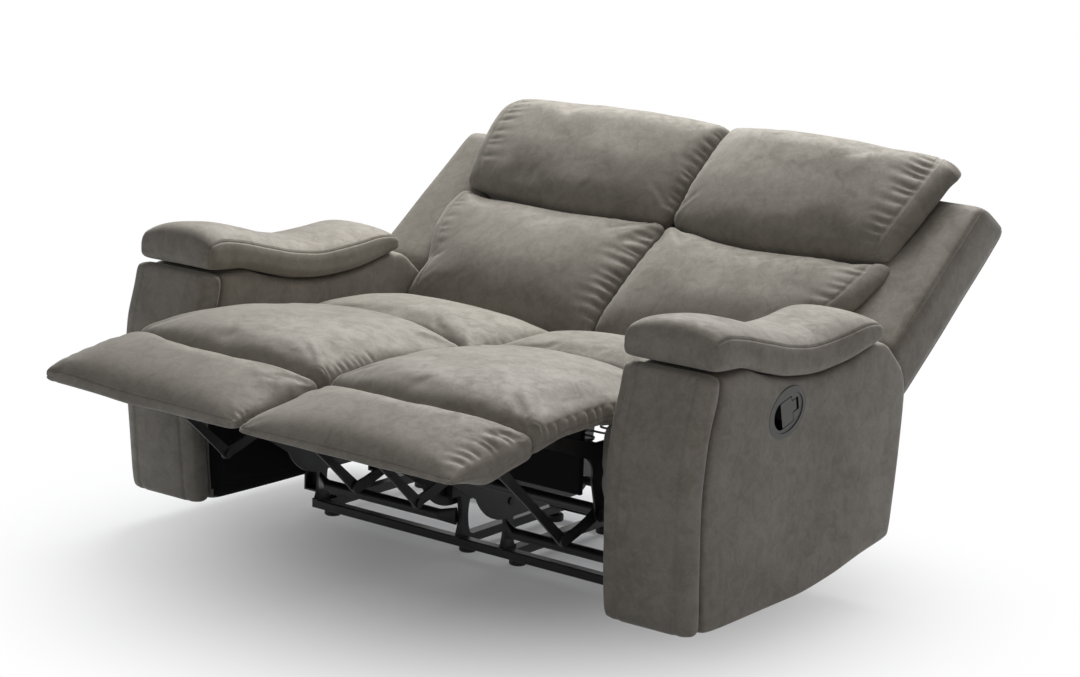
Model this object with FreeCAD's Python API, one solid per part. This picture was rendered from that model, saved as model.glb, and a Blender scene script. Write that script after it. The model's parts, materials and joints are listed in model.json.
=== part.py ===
import FreeCAD, Part
import math
import os

# Two-seat reclining sofa, shown with both seats fully reclined and both footrests out.
# Millimetres. +X is the viewer's right from the front, the sofa faces -Y, +Z is up.
# The origin is on the floor, under the middle of the reclined sofa.
# Every piece is built for the right-hand side and mirrored for the left-hand side.

V = FreeCAD.Vector

# Overall sizes
arm_outer_x = 740.0
arm_inner_x = 545.0
arm_pad_overhang = 10.0
front_panel_thickness = 48.0
side_panel_thickness = 18.0
inner_panel_thickness = 14.0
cheek_thickness = 12.0

# Seat widths
seat_centre_x = 263.5
seat_inner_x = 2.0
seat_outer_x = 525.0
back_outer_x = 538.0
wing_inner_x = 545.0
wing_outer_x = 715.0

# Side view of the seat: y, z
footrest_pivot = (-490.0, 430.0)
back_pivot = (276.0, 395.0)
link_length = 270.0
link_angle = 41.4
crank_reach = (-110.0, -37.0)
seat_underside = 396.0
thigh_underside = 446.0
thigh_step_y = -312.0
lumbar_sweep_radius = 80.0

# Side view of the back: s runs up the back, t points out of its front face
back_angle = 36.2
back_foot = (257.0, 455.0)
back_rear_t = -147.5
wing_front_t = -24.0
cushion_rear_t = -62.0
shell_thickness = 9.0

# Mechanism, measured sideways from the middle of a seat
plate_thickness = 4.0
plate_offset = 188.0
arm_plane_offset = 182.5
arm_plane_thickness = 5.0
link_plane_offset = 177.0
link_thickness = 5.0
pin_radius = 6.0
running_clearance = 0.05
open_pivot_clearance = 0.6
roller_radius = 11.0
roller_width = 12.0
roller_height = 150.0
roller_stations = (-80.0, 130.0)
track_inner_offset = 195.0
track_web_offset = 207.0
track_web_thickness = 3.0
track_front_y = -118.0
track_rear_y = 300.0

# Floor frame
foot_height = 22.0
foot_radius = 19.0
foot_stations = (-40.0, 275.0)
arm_bolt_stations = (-20.0, 200.0)
arm_bolt_heights = (140.0, 170.0)
rail_height = 20.0
rail_width = 25.0
front_rail_y = -75.0
rear_rail_y = 302.0
rail_offset = 195.0
rail_reach_x = 479.0
cross_tube_radius = 12.5
cross_tube_y = -98.0
cross_tube_z = 87.0

# Cushions: sections across the seat, the roll of their side edges and the bows of their seams
cushion_shares = (-1.0, -0.965, -0.88, -0.65, -0.3, 0.3, 0.65, 0.88, 0.965, 1.0)
cushion_crown_power = 2.6
cushion_roll_start = 0.90
cushion_roll = 16.0
crease_y = -600.0
crease_depth = -46.0
thigh_seam_y = -135.0
thigh_seam_depth = 40.0
waist_s = 371.0
waist_depth = -50.0
waist_outer_end = -14.0
seam_gap = 1.0

# Pull handle in the outer side of each arm
cup_centre = (-88.0, 466.0)
cup_half_length = 62.5
cup_half_height = 45.0
cup_tilt = 14.0
cup_lip = 3.0
cup_depth = 36.0
cup_wall = 2.5
lever_pivot_y = -52.0


def sub(a, b):
    return (a[0] - b[0], a[1] - b[1])


def add(a, b):
    return (a[0] + b[0], a[1] + b[1])


link_vector = (
    link_length * math.cos(math.radians(link_angle)),
    -link_length * math.sin(math.radians(link_angle)),
)
crank_pivot = add(footrest_pivot, link_vector)
elbow_pivot = add(crank_pivot, crank_reach)
bracket_pivot = add(footrest_pivot, crank_reach)


def outline(x, start, *moves):
    """Closed wire in the plane X = x. A move is a point, or a pair (middle, end) for an arc."""
    here = start
    edges = []
    for move in moves + (start,):
        if isinstance(move[0], tuple):
            middle, end = move
            curve = Part.Arc(V(x, *here), V(x, *middle), V(x, *end))
            edges.append(curve.toShape())
            here = end
        elif math.hypot(move[0] - here[0], move[1] - here[1]) > 1e-6:
            edges.append(Part.makeLine(V(x, *here), V(x, *move)))
            here = move
    return Part.Wire(edges)


def slab(x0, x1, start, *moves):
    """Side-view outline given a thickness along X."""
    return Part.Face(outline(x0, start, *moves)).extrude(V(x1 - x0, 0, 0))


def box(x0, x1, y0, y1, z0, z1):
    return Part.makeBox(x1 - x0, y1 - y0, z1 - z0, V(x0, y0, z0))


def rod_x(centre, radius, x0, x1):
    return Part.makeCylinder(radius, x1 - x0, V(x0, centre[0], centre[1]), V(1, 0, 0))


def mirrored(shape, x=0.0):
    return shape.mirror(V(x, 0, 0), V(1, 0, 0))


def both_plates(outer):
    """A piece on the outer side of a seat and its mirror image on the inner side."""
    return Part.makeCompound([outer, mirrored(outer, seat_centre_x)])


def fused(first, *others):
    return first.fuse(list(others)).removeSplitter()


def on_back(shape):
    """Places a shape drawn in x, s, t on the reclined back."""
    placed = shape.copy()
    placed.rotate(V(0, 0, 0), V(1, 0, 0), back_angle)
    placed.translate(V(0, back_foot[0], back_foot[1]))
    return placed


def straight(share):
    return 0.0


def seam_bow(depth, outer_end=0.0):
    """Bow of a seam across the seat: its depth in the middle, and a shift at the outer end."""

    def shift(share):
        return depth * math.cos(0.5 * math.pi * share) + outer_end * max(share, 0.0) ** 3

    return shift


def smooth_edge(points):
    curve = Part.BSplineCurve()
    curve.interpolate(points)
    return curve.toShape()


def cushion_profile(x, share, stations, front_bow, rear_bow):
    """Side view of a cushion at one place across it. Share runs from -1 to 1 over its width."""
    first = stations[0][0]
    last = stations[-1][0]
    roll = max(0.0, abs(share) - cushion_roll_start) / (1.0 - cushion_roll_start)
    under = []
    over = []
    for place, low, edge, crown in stations:
        along = (place - first) / (last - first)
        y = place + front_bow(share) * (1.0 - along) ** 2 + rear_bow(share) * along ** 2
        top = edge + (crown - edge) * (1.0 - abs(share) ** cushion_crown_power)
        under.append(V(x, y, low))
        over.append(V(x, y, top - cushion_roll * roll ** 2 * min(1.0, (edge - low) / 60.0)))
    return Part.Wire([
        smooth_edge(under),
        Part.makeLine(under[-1], over[-1]),
        smooth_edge(over[::-1]),
        Part.makeLine(over[0], under[0]),
    ])


def cushion(x0, x1, stations, front_bow=straight, rear_bow=straight):
    """Loft across the seat through side views with (position, underside, edge, crown) stations."""
    middle = 0.5 * (x0 + x1)
    half = 0.5 * (x1 - x0)
    wires = []
    for share in cushion_shares:
        wires.append(cushion_profile(middle + half * share, share, stations, front_bow, rear_bow))
    return Part.makeLoft(wires, True, False)


# Floor frame

def cross_rail(y):
    """Square-section rail from side to side, its long edges rounded."""
    half = 0.5 * rail_width
    top = foot_height + rail_height
    bar = box(-rail_reach_x, rail_reach_x, y - half, y + half, foot_height, top)
    return bar.makeFillet(3.0, [e for e in bar.Edges if e.Length > rail_reach_x])


def front_rail():
    return cross_rail(front_rail_y)


def rear_rail():
    return cross_rail(rear_rail_y)


def rail_lines():
    """X of the four runners under the seat side plates."""
    right = [seat_centre_x - rail_offset, seat_centre_x + rail_offset]
    return [-right[1], -right[0], right[0], right[1]]


def runners():
    half = 0.5 * rail_width
    front = front_rail_y + half
    rear = rear_rail_y - half
    top = foot_height + rail_height
    return Part.makeCompound([box(x - half, x + half, front, rear, foot_height, top) for x in rail_lines()])


def glide_feet():
    feet = []
    for x in rail_lines():
        for y in foot_stations:
            pad = Part.makeCylinder(foot_radius, foot_height - 6.0, V(x, y, 0))
            pad = pad.makeChamfer(2.0, [pad.Edges[0], pad.Edges[2]])
            stem = Part.makeCylinder(8.0, 6.0, V(x, y, foot_height - 6.0))
            feet.append(fused(pad, stem))
    return Part.makeCompound(feet)


def track_floor():
    return roller_height - roller_radius - running_clearance


def both_seats(right):
    return Part.makeCompound([right, mirrored(right)])


def track_rails():
    """Channel rails, open towards the side plates, that the seat rollers run in."""
    low = track_floor()
    high = roller_height + roller_radius + running_clearance
    web = track_web_thickness
    outer = track_web_offset + web
    x_in = seat_centre_x + track_inner_offset
    x_out = seat_centre_x + outer
    body = box(x_in, x_out, track_front_y, track_rear_y, low - web, high + web)
    hollow = box(x_in, x_out - web, track_front_y + web, track_rear_y - web, low, high)
    return both_seats(both_plates(body.cut(hollow)))


def track_posts():
    """Flanged posts that carry the channel rails on the runners."""
    x0 = seat_centre_x + track_inner_offset + 1.0
    x1 = seat_centre_x + track_web_offset + track_web_thickness
    low = foot_height + rail_height
    high = track_floor() - track_web_thickness
    posts = []
    for y in (front_rail_y + 5.0, rear_rail_y - 30.0):
        foot = box(x0, x1, y - 24.0, y + 24.0, low, low + 4.0)
        web = slab(x0, x1, (y - 20.0, low), ((y - 9.0, 0.5 * (low + high)), (y - 20.0, high)),
                   (y + 20.0, high), ((y + 9.0, 0.5 * (low + high)), (y + 20.0, low)))
        posts.append(fused(foot, web))
    right = []
    for post in posts:
        right.append(post)
        right.append(mirrored(post, seat_centre_x))
    return Part.makeCompound(right + [mirrored(post) for post in right])


def cross_tubes():
    """Tube between the posts of each seat, flattened and turned back at its ends."""
    reach = track_inner_offset + 1.0
    straight = reach - 34.0
    radius = cross_tube_radius
    tube = rod_x((cross_tube_y, cross_tube_z), radius, seat_centre_x - straight, seat_centre_x + straight)
    ear = cross_tube_end(straight, reach)
    return both_seats(fused(tube, ear, mirrored(ear, seat_centre_x)))


def cross_tube_end(straight, reach):
    x0 = seat_centre_x + straight
    radius = cross_tube_radius
    round_end = Part.Wire(Part.makeCircle(radius, V(x0, cross_tube_y, cross_tube_z), V(1, 0, 0)))
    flat = Part.Ellipse(V(seat_centre_x + reach, cross_tube_y + 14.0, cross_tube_z), 20.0, 5.0)
    flat_edge = flat.toShape()
    flat_edge.rotate(V(seat_centre_x + reach, cross_tube_y + 14.0, cross_tube_z), V(0, 1, 0), 90)
    return Part.makeLoft([round_end, Part.Wire(flat_edge)], True, True)


def arm_brackets():
    """Angle brackets from the outer runners to the inner face of each arm."""
    low = foot_height + rail_height
    x0 = seat_centre_x + rail_offset - 12.0
    brackets = []
    for y in arm_bolt_stations:
        foot = box(x0, arm_inner_x, y - 22.0, y + 22.0, low, low + 4.0)
        leaf = box(arm_inner_x - 4.0, arm_inner_x, y - 22.0, y + 22.0, low, 190.0)
        rib = Part.Face(Part.makePolygon([
            V(arm_inner_x - 4.0, y, low + 4.0), V(arm_inner_x - 44.0, y, low + 4.0),
            V(arm_inner_x - 4.0, y, low + 54.0), V(arm_inner_x - 4.0, y, low + 4.0),
        ])).extrude(V(0, 4.0, 0))
        bracket = fused(foot, leaf, rib)
        for z in arm_bolt_heights:
            bracket = bracket.cut(rod_x((y, z), 4.5, arm_inner_x - 6.0, arm_inner_x + 2.0))
        brackets.append(bracket)
    return Part.makeCompound(brackets + [mirrored(b) for b in brackets])


def hex_bolt(y, z):
    """Bolt into the inner face of the right arm, head towards the middle of the sofa."""
    face = arm_inner_x - 4.0
    radius = 7.0
    corners = [V(face - 5.0, y + radius * math.cos(math.pi * k / 3.0), z + radius * math.sin(math.pi * k / 3.0))
               for k in range(7)]
    head = Part.Face(Part.makePolygon(corners)).extrude(V(5.0, 0, 0))
    return fused(head, rod_x((y, z), 4.0, face, arm_inner_x + 24.0))


def arm_bolts():
    bolts = [hex_bolt(y, z) for y in arm_bolt_stations for z in arm_bolt_heights]
    return Part.makeCompound(bolts + [mirrored(b) for b in bolts])


# Arms

arm_front = ((-362.0, 92.0), (-376.0, 330.0), (-332.0, 545.0), (-330.0, 580.0))


def arm_side_view(x0, x1):
    """Whole arm in side view: straight front, hollowed top line, rear edge that leans back."""
    return slab(
        x0, x1, arm_front[0], ((-20.0, 80.0), (250.0, 112.0)), (358.0, 121.0),
        ((383.0, 300.0), (387.0, 417.0)), ((365.0, 482.0), (284.0, 547.0)), (245.0, 552.0),
        ((40.0, 524.0), (-150.0, 549.0)), ((-245.0, 577.0), arm_front[3]),
        arm_front[2], (arm_front[1], arm_front[0]))


def front_strip(x0, x1, depth):
    """The slice of the arm within a depth of its front line."""
    shifted = [(y + depth, z) for y, z in arm_front]
    low = (shifted[0][0], 60.0)
    high = (shifted[3][0], 640.0)
    return slab(x0, x1, (-460.0, 60.0), low, shifted[0], (shifted[1], shifted[2]), shifted[3],
                high, (-460.0, 640.0))


def arm_front_panel():
    """Padded front panel with its two upright edges rounded."""
    whole = arm_side_view(arm_inner_x, arm_outer_x)
    panel = whole.common(front_strip(arm_inner_x - 5.0, arm_outer_x + 5.0, front_panel_thickness))
    upright = []
    for edge in panel.Edges:
        box_ = edge.BoundBox
        at_side = abs(box_.XMin - arm_outer_x) < 0.1 or abs(box_.XMax - arm_inner_x) < 0.1
        if at_side and box_.XLength < 0.1 and box_.ZLength > 200.0 and box_.YMin < -370.0:
            upright.append(edge)
    return panel.makeFillet(24.0, upright)


def behind_front(x0, x1, gap):
    return arm_side_view(x0, x1).cut(front_strip(x0 - 5.0, x1 + 5.0, front_panel_thickness + gap))


def arm_core_view(x0, x1, inset):
    """The arm's side view without its front panel, drawn in by an inset all round."""
    return slab(
        x0, x1, (-312.0 + inset, 92.0 + inset), ((-20.0, 80.0 + inset), (250.0, 112.0 + inset)),
        (358.0 - inset, 121.0 + inset), ((383.0 - inset, 300.0), (387.0 - inset, 410.0)),
        (284.0 - inset, 545.0 - inset), (245.0, 550.0 - inset),
        ((40.0, 522.0 - inset), (-150.0, 547.0 - inset)), (-278.0 + inset, 574.0 - inset))


def cup_face(x, shrink):
    """Tilted oval of the handle cup, as a wire in the plane X = x."""
    major = cup_half_length - shrink
    minor = cup_half_height - shrink
    oval = Part.Ellipse(V(0, 0, 0), major, minor).toShape()
    oval.rotate(V(0, 0, 0), V(0, 0, 1), cup_tilt)
    oval.rotate(V(0, 0, 0), V(1, 0, 0), 90)
    oval.rotate(V(0, 0, 0), V(0, 0, 1), 90)
    oval.translate(V(x, cup_centre[0], cup_centre[1]))
    return Part.Wire(oval)


def cup_prism(x0, x1, shrink):
    return Part.Face(cup_face(x0, shrink)).extrude(V(x1 - x0, 0, 0))


def arm_outer_panel():
    """Padded outer side, turned round the rear end of the arm, with the hole for the cup."""
    side = behind_front(arm_outer_x - side_panel_thickness, arm_outer_x, 0.5)
    rear_edges = []
    for edge in side.Edges:
        box_ = edge.BoundBox
        if abs(box_.XMin - arm_outer_x) < 0.1 and box_.XLength < 0.1 and box_.YMin > 280.0:
            rear_edges.append(edge)
    side = side.makeFillet(9.0, rear_edges)
    inner_x = arm_inner_x + inner_panel_thickness
    rear = arm_side_view(inner_x, arm_outer_x - side_panel_thickness + 1.0)
    rear = rear.cut(arm_core_view(inner_x - 5.0, arm_outer_x, 10.0))
    rear = rear.common(box(inner_x, arm_outer_x, 250.0, 420.0, 122.0, 542.0))
    side = side.cut(cup_prism(arm_outer_x - 60.0, arm_outer_x + 10.0, cup_wall + 0.5))
    return fused(side, rear)


def arm_inner_panel():
    """Padded inner side with the thick pad that closes the gap beside the seat."""
    panel = behind_front(arm_inner_x, arm_inner_x + inner_panel_thickness, 0.5)
    inner_x = seat_centre_x + track_web_offset + track_web_thickness + 4.0
    pad = slab(inner_x, arm_inner_x, (-334.0, 285.0), (60.0, 285.0), (60.0, 388.0),
               (-318.0, 388.0), (-318.0, 434.0), (-334.0, 434.0))
    round_edges = [e for e in pad.Edges
                   if e.BoundBox.XMax < inner_x + 0.1 and e.BoundBox.YMax < -330.0]
    pad = pad.makeFillet(14.0, round_edges)
    panel = fused(panel, pad)
    for y in arm_bolt_stations:
        for z in arm_bolt_heights:
            panel = panel.cut(rod_x((y, z), 4.5, arm_inner_x - 2.0, arm_inner_x + 30.0))
    return panel


def arm_frame():
    """Two plywood cheeks held apart by posts and rails."""
    x0 = arm_inner_x + inner_panel_thickness + 0.5
    x1 = arm_outer_x - side_panel_thickness - 0.5
    inset = 12.0
    inner_cheek = arm_core_view(x0, x0 + cheek_thickness, inset)
    outer_cheek = arm_core_view(x1 - cheek_thickness, x1, inset)
    outer_cheek = outer_cheek.cut(cup_prism(x0, arm_outer_x, -0.5))
    between = arm_core_view(x0 + cheek_thickness, x1 - cheek_thickness, inset)
    front_post = between.common(box(x0, x1, -400.0, -262.0, 60.0, 600.0))
    rear_post = between.common(box(x0, x1, 322.0, 420.0, 60.0, 600.0))
    bottom_rail = between.common(box(x0, x1, -262.0, 322.0, 60.0, 145.0))
    frame = fused(inner_cheek, outer_cheek, front_post, rear_post, bottom_rail)
    for y in arm_bolt_stations:
        for z in arm_bolt_heights:
            frame = frame.cut(rod_x((y, z), 4.5, x0 - 2.0, x0 + 16.0))
    return frame


arm_pad_stations = (
    (-382.0, 592.0, 612.0, 620.0),
    (-364.0, 584.0, 636.0, 652.0),
    (-320.0, 578.0, 647.0, 675.0),
    (-260.0, 560.0, 640.0, 670.0),
    (-170.0, 535.0, 617.0, 646.0),
    (-80.0, 518.0, 597.0, 621.0),
    (20.0, 508.0, 586.0, 608.0),
    (120.0, 512.0, 591.0, 613.0),
    (210.0, 530.0, 599.0, 620.0),
    (250.0, 545.0, 596.0, 611.0),
    (268.0, 560.0, 580.0, 588.0),
)


def arm_pad():
    """Wave-shaped arm rest, crowned across, seated on the arm's top line."""
    x0 = arm_inner_x - 5.0
    x1 = arm_outer_x + arm_pad_overhang
    pad = cushion(x0, x1, arm_pad_stations)
    return pad.cut(arm_side_view(x0 - 20.0, x1 + 20.0))


def handle_cup():
    """Oval cup with a raised lip, a floor and a boss for the lever's pin."""
    lip_x = arm_outer_x + cup_lip
    floor_x = arm_outer_x - cup_depth
    lip = Part.Face(cup_face(arm_outer_x, -5.0)).extrude(V(cup_lip, 0, 0))
    lip = lip.makeFillet(2.0, [e for e in lip.Edges if e.BoundBox.XMin > lip_x - 0.1])
    body = cup_prism(floor_x - cup_wall, arm_outer_x + 0.1, cup_wall + 1.0)
    shell = fused(lip, body).cut(cup_prism(floor_x, lip_x + 1.0, 2.0 * cup_wall + 1.5))
    boss = box(floor_x, floor_x + 9.0, lever_pivot_y - 7.0, lever_pivot_y + 7.0,
               cup_centre[1] - 20.0, cup_centre[1] + 30.0)
    pocket = Part.makeCylinder(7.0, 36.0, V(lever_pin_x(), lever_pivot_y, cup_centre[1] - 13.0))
    post_low = Part.makeCylinder(5.0, 8.0, V(lever_pin_x(), lever_pivot_y, cup_centre[1] - 21.0))
    web_low = box(floor_x, lever_pin_x(), lever_pivot_y - 5.0, lever_pivot_y + 5.0,
                  cup_centre[1] - 21.0, cup_centre[1] - 13.0)
    web_high = box(floor_x, lever_pin_x(), lever_pivot_y - 5.0, lever_pivot_y + 5.0,
                   cup_centre[1] + 23.0, cup_centre[1] + 31.0)
    post_high = Part.makeCylinder(5.0, 8.0, V(lever_pin_x(), lever_pivot_y, cup_centre[1] + 23.0))
    pin = Part.makeCylinder(2.0, 52.0, V(lever_pin_x(), lever_pivot_y, cup_centre[1] - 21.0))
    inside = cup_prism(floor_x - 1.0, lip_x, 2.0 * cup_wall)
    mount = fused(boss.cut(pocket), post_low, web_low, web_high, post_high, pin).common(inside)
    return fused(shell, mount)


def lever_pin_x():
    return arm_outer_x - 14.0


def pull_lever():
    """Paddle with a T-shaped thumb tab, hinged at the rear of the cup."""
    x = lever_pin_x()
    z = cup_centre[1] + 5.0
    barrel = Part.makeCylinder(4.5, 34.0, V(x, lever_pivot_y, z - 17.0))
    blade = slab(x - 2.5, x + 2.5, (lever_pivot_y, z - 14.0), ((-72.0, z - 20.0), (-92.0, z - 22.0)),
                 ((-99.0, z - 6.0), (-95.0, z + 14.0)), ((-74.0, z + 18.0), (lever_pivot_y, z + 14.0)))
    tab = slab(x + 2.0, x + 7.0, (-66.0, z - 5.0), (-84.0, z - 5.0), (-84.0, z - 13.0), (-94.0, z - 13.0),
               (-94.0, z + 11.0), (-84.0, z + 11.0), (-84.0, z + 5.0), (-66.0, z + 5.0))
    tab = tab.makeFillet(1.2, [e for e in tab.Edges if e.BoundBox.XMin > x + 6.9])
    lever = fused(barrel, blade, tab)
    hole = Part.makeCylinder(2.0 + running_clearance, 60.0, V(x, lever_pivot_y, z - 30.0))
    return lever.cut(hole)


# Seat carriage

def side_plate():
    """Stamped plate that carries the seat, its rollers, the footrest and the back."""
    x0 = seat_centre_x + plate_offset
    x1 = x0 + plate_thickness
    hy, hz = footrest_pivot
    by, bz = back_pivot
    ay, az = crank_pivot
    plate = slab(
        x0, x1, (-320.0, 394.0), (hy + 3.0, hz + 12.7), ((hy - 13.0, hz), (hy + 3.0, hz - 12.7)),
        (-345.0, 368.0), ((-326.0, 350.0), (-324.0, 320.0)), (ay - 20.0, az + 6.0),
        ((ay - 14.0, az - 16.0), (ay + 4.0, az - 22.0)), (-196.0, 176.0),
        ((-150.0, 128.0), (-96.0, 114.0)), (150.0, 114.0), ((196.0, 136.0), (206.0, 190.0)),
        ((222.0, 290.0), (by + 13.0, bz - 12.5)), ((by + 15.6, bz + 9.0), (by, bz + 18.0)),
        (by - 60.0, 394.0))
    for start, moves in side_plate_windows():
        plate = plate.cut(slab(x0 - 1.0, x1 + 1.0, start, *moves))
    for hole in (footrest_pivot, back_pivot, crank_pivot):
        plate = plate.cut(rod_x(hole, pin_radius + running_clearance, x0 - 1.0, x1 + 1.0))
    return plate


def side_plate_windows():
    """Rounded windows stamped out of the side plate."""
    return (
        ((-262.0, 345.0), (((-272.0, 320.0), (-252.0, 300.0)), (-200.0, 228.0),
                           ((-180.0, 220.0), (-168.0, 240.0)), (-140.0, 330.0), ((-145.0, 348.0), (-160.0, 352.0)))),
        ((-95.0, 350.0), (((-112.0, 335.0), (-108.0, 318.0)), (-60.0, 206.0),
                          ((-45.0, 194.0), (-30.0, 206.0)), (10.0, 330.0), ((8.0, 346.0), (-8.0, 352.0)))),
        ((66.0, 350.0), (((54.0, 340.0), (50.0, 326.0)), (22.0, 212.0),
                         ((28.0, 198.0), (42.0, 194.0)), (136.0, 194.0), ((154.0, 206.0), (158.0, 224.0)),
                         (176.0, 330.0), ((174.0, 346.0), (160.0, 352.0)))),
    )


def side_plates():
    return both_plates(side_plate())


def roller_set():
    """Rollers with their axle pins riveted through the side plates."""
    x_plate = seat_centre_x + plate_offset
    x_roller = x_plate + plate_thickness + 1.0
    pieces = []
    for y in roller_stations:
        centre = (y, roller_height)
        roller = rod_x(centre, roller_radius, x_roller, x_roller + roller_width)
        roller = roller.makeChamfer(1.0, [e for e in roller.Edges if e.Length > 60.0])
        collar = rod_x(centre, 8.0, x_plate + plate_thickness, x_roller)
        head = rod_x(centre, 8.0, x_plate - 3.0, x_plate)
        pieces.append(fused(roller, collar))
        pieces.append(head)
    right = []
    for piece in pieces:
        right.append(piece)
        right.append(mirrored(piece, seat_centre_x))
    return Part.makeCompound(right)


def hinge_pins():
    """Pins of the footrest and back hinges, riveted in the side plates."""
    x_in = seat_centre_x + arm_plane_offset
    x_plate = seat_centre_x + plate_offset
    x_out = x_plate + plate_thickness
    pins = []
    for centre in (footrest_pivot, back_pivot):
        shank = rod_x(centre, pin_radius, x_in - 1.0, x_out + 1.0)
        inner_head = rod_x(centre, 9.0, x_in - 3.5, x_in - 0.6)
        outer_head = rod_x(centre, 9.0, x_out + 0.05, x_out + 2.4)
        pin = fused(shank, inner_head, outer_head)
        pins.append(pin)
        pins.append(mirrored(pin, seat_centre_x))
    return Part.makeCompound(pins)


def seat_rails():
    """Cross rails between the side plates that carry the springs."""
    x0 = seat_centre_x - plate_offset
    x1 = seat_centre_x + plate_offset
    front = box(x0, x1, -315.0, -290.0, 362.0, 388.0)
    rear = box(x0, x1, 172.0, 197.0, 362.0, 388.0)
    stretcher = rod_x((90.0, 175.0), 11.0, x0, x1)
    bars = []
    for bar in (front, rear):
        bars.append(bar.makeFillet(3.0, [e for e in bar.Edges if e.Length > 300.0]))
    return Part.makeCompound(bars + [stretcher])


spring_loops = 7
spring_half_width = 26.0
spring_wire = 3.6


def sinuous_spring(x):
    """Zigzag seat spring, hooked on the front and rear cross rails."""
    y0 = -302.0
    y1 = 184.0
    pitch = (y1 - y0) / (2.0 * spring_loops)
    z = 388.0
    radius = 0.5 * pitch
    edges = []
    here = V(x, y0, z)
    for k in range(2 * spring_loops):
        side = 1.0 if k % 2 == 0 else -1.0
        y = y0 + k * pitch
        corner = V(x + side * (spring_half_width - radius), y, z)
        turn = V(x + side * spring_half_width, y + radius, z)
        back = V(x + side * (spring_half_width - radius), y + pitch, z)
        edges.append(Part.makeLine(here, corner))
        edges.append(Part.Arc(corner, turn, back).toShape())
        here = back
    edges.append(Part.makeLine(here, V(x, y1, z)))
    path = Part.Wire(edges)
    band = path.makeOffset2D(0.5 * spring_wire, 0, False, False, False)
    return Part.Face(band).extrude(V(0, 0, spring_wire))


def seat_springs():
    places = (-135.0, -45.0, 45.0, 135.0)
    return Part.makeCompound([sinuous_spring(seat_centre_x + place) for place in places])


def front_board():
    """Cloth-faced board that closes the front of the seat box."""
    half = 165.0
    board = box(seat_centre_x - half, seat_centre_x + half, -328.0, -315.5, 285.0, 442.0)
    return board.makeFillet(4.0, [e for e in board.Edges if e.BoundBox.YMax < -327.0])


thigh_stations = (
    (-490.3, seat_underside, 496.0, 534.0),
    (-440.0, seat_underside, 502.0, 540.0),
    (-350.0, seat_underside, 504.0, 536.0),
    (-260.0, seat_underside, 498.0, 525.0),
    (-200.0, seat_underside, 490.0, 510.0),
    (-155.0, seat_underside, 478.0, 495.0),
    (thigh_seam_y - seam_gap, seat_underside, 462.0, 474.0),
)


def thigh_cushion():
    """Front part of the seat cushion, over the hinge line of the footrest."""
    body = cushion(seat_inner_x, seat_outer_x, thigh_stations, straight, seam_bow(thigh_seam_depth))
    relief = box(seat_inner_x - 10.0, seat_outer_x + 10.0, -600.0, thigh_step_y, 300.0, thigh_underside)
    return body.cut(relief)


seat_stations = (
    (thigh_seam_y, seat_underside, 462.0, 474.0),
    (-115.0, seat_underside, 474.0, 493.0),
    (-55.0, seat_underside, 480.0, 508.0),
    (30.0, seat_underside, 479.0, 509.0),
    (110.0, seat_underside, 472.0, 498.0),
    (170.0, seat_underside, 454.0, 470.0),
    (214.0, seat_underside, 430.0, 438.0),
)


def seat_cushion():
    """Rear part of the seat cushion, hollowed at the back where the lumbar pad swings."""
    body = cushion(seat_inner_x, seat_outer_x, seat_stations, seam_bow(thigh_seam_depth))
    swing = rod_x(back_pivot, lumbar_sweep_radius, seat_inner_x - 10.0, seat_outer_x + 10.0)
    return body.cut(swing)


# Footrest

footrest_slope = 0.214


def footrest_underside(y):
    return 440.0 + footrest_slope * (y + 545.0)


def footrest_wedge(y0, y1):
    """What lies under the footrest's underside between two places, for trimming its cushions."""
    return slab(seat_inner_x - 5.0, seat_outer_x + 5.0, (y1, footrest_underside(y1)),
                (y0, footrest_underside(y0)), (y0, 340.0), (y1, 340.0))


def footrest_bridge():
    """Strip of the thigh cushion that turns down with the footrest, up to the bowed crease."""
    stations = (
        (crease_y + seam_gap, 412.0, 468.0, 482.0),
        (-592.0, 414.0, 479.0, 499.0),
        (-575.0, 419.0, 488.0, 514.0),
        (-540.0, 430.0, 495.0, 527.0),
        (-490.9, thigh_underside + 0.5, 496.0, 534.0),
    )
    strip = cushion(seat_inner_x, seat_outer_x, stations, seam_bow(crease_depth))
    return strip.cut(footrest_wedge(-700.0, -530.0))


def footrest_pad():
    """Thick footrest pad, wedge-shaped in side view with a rounded nose."""
    stations = (
        (-832.0, 434.0, 444.0, 449.0),
        (-816.0, 427.0, 452.0, 464.0),
        (-770.0, 414.0, 464.0, 486.0),
        (-718.0, 400.0, 473.0, 502.0),
        (-670.0, 404.0, 478.0, 510.0),
        (-636.0, 408.0, 479.0, 508.0),
        (-612.0, 410.0, 474.0, 496.0),
        (crease_y, 412.0, 464.0, 478.0),
    )
    pad = cushion(seat_inner_x, seat_outer_x, stations, straight, seam_bow(crease_depth))
    return pad.cut(footrest_wedge(-700.0, -580.0))


def footrest_board():
    """Plywood board under the footrest pad."""
    half = 225.0
    x0 = seat_centre_x - half
    x1 = seat_centre_x + half
    low = 10.0
    return slab(x0, x1, (-548.0, footrest_underside(-548.0) - 0.1), (-698.0, footrest_underside(-698.0) - 0.1),
                (-698.0, footrest_underside(-698.0) - low), (-548.0, footrest_underside(-548.0) - low))


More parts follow.
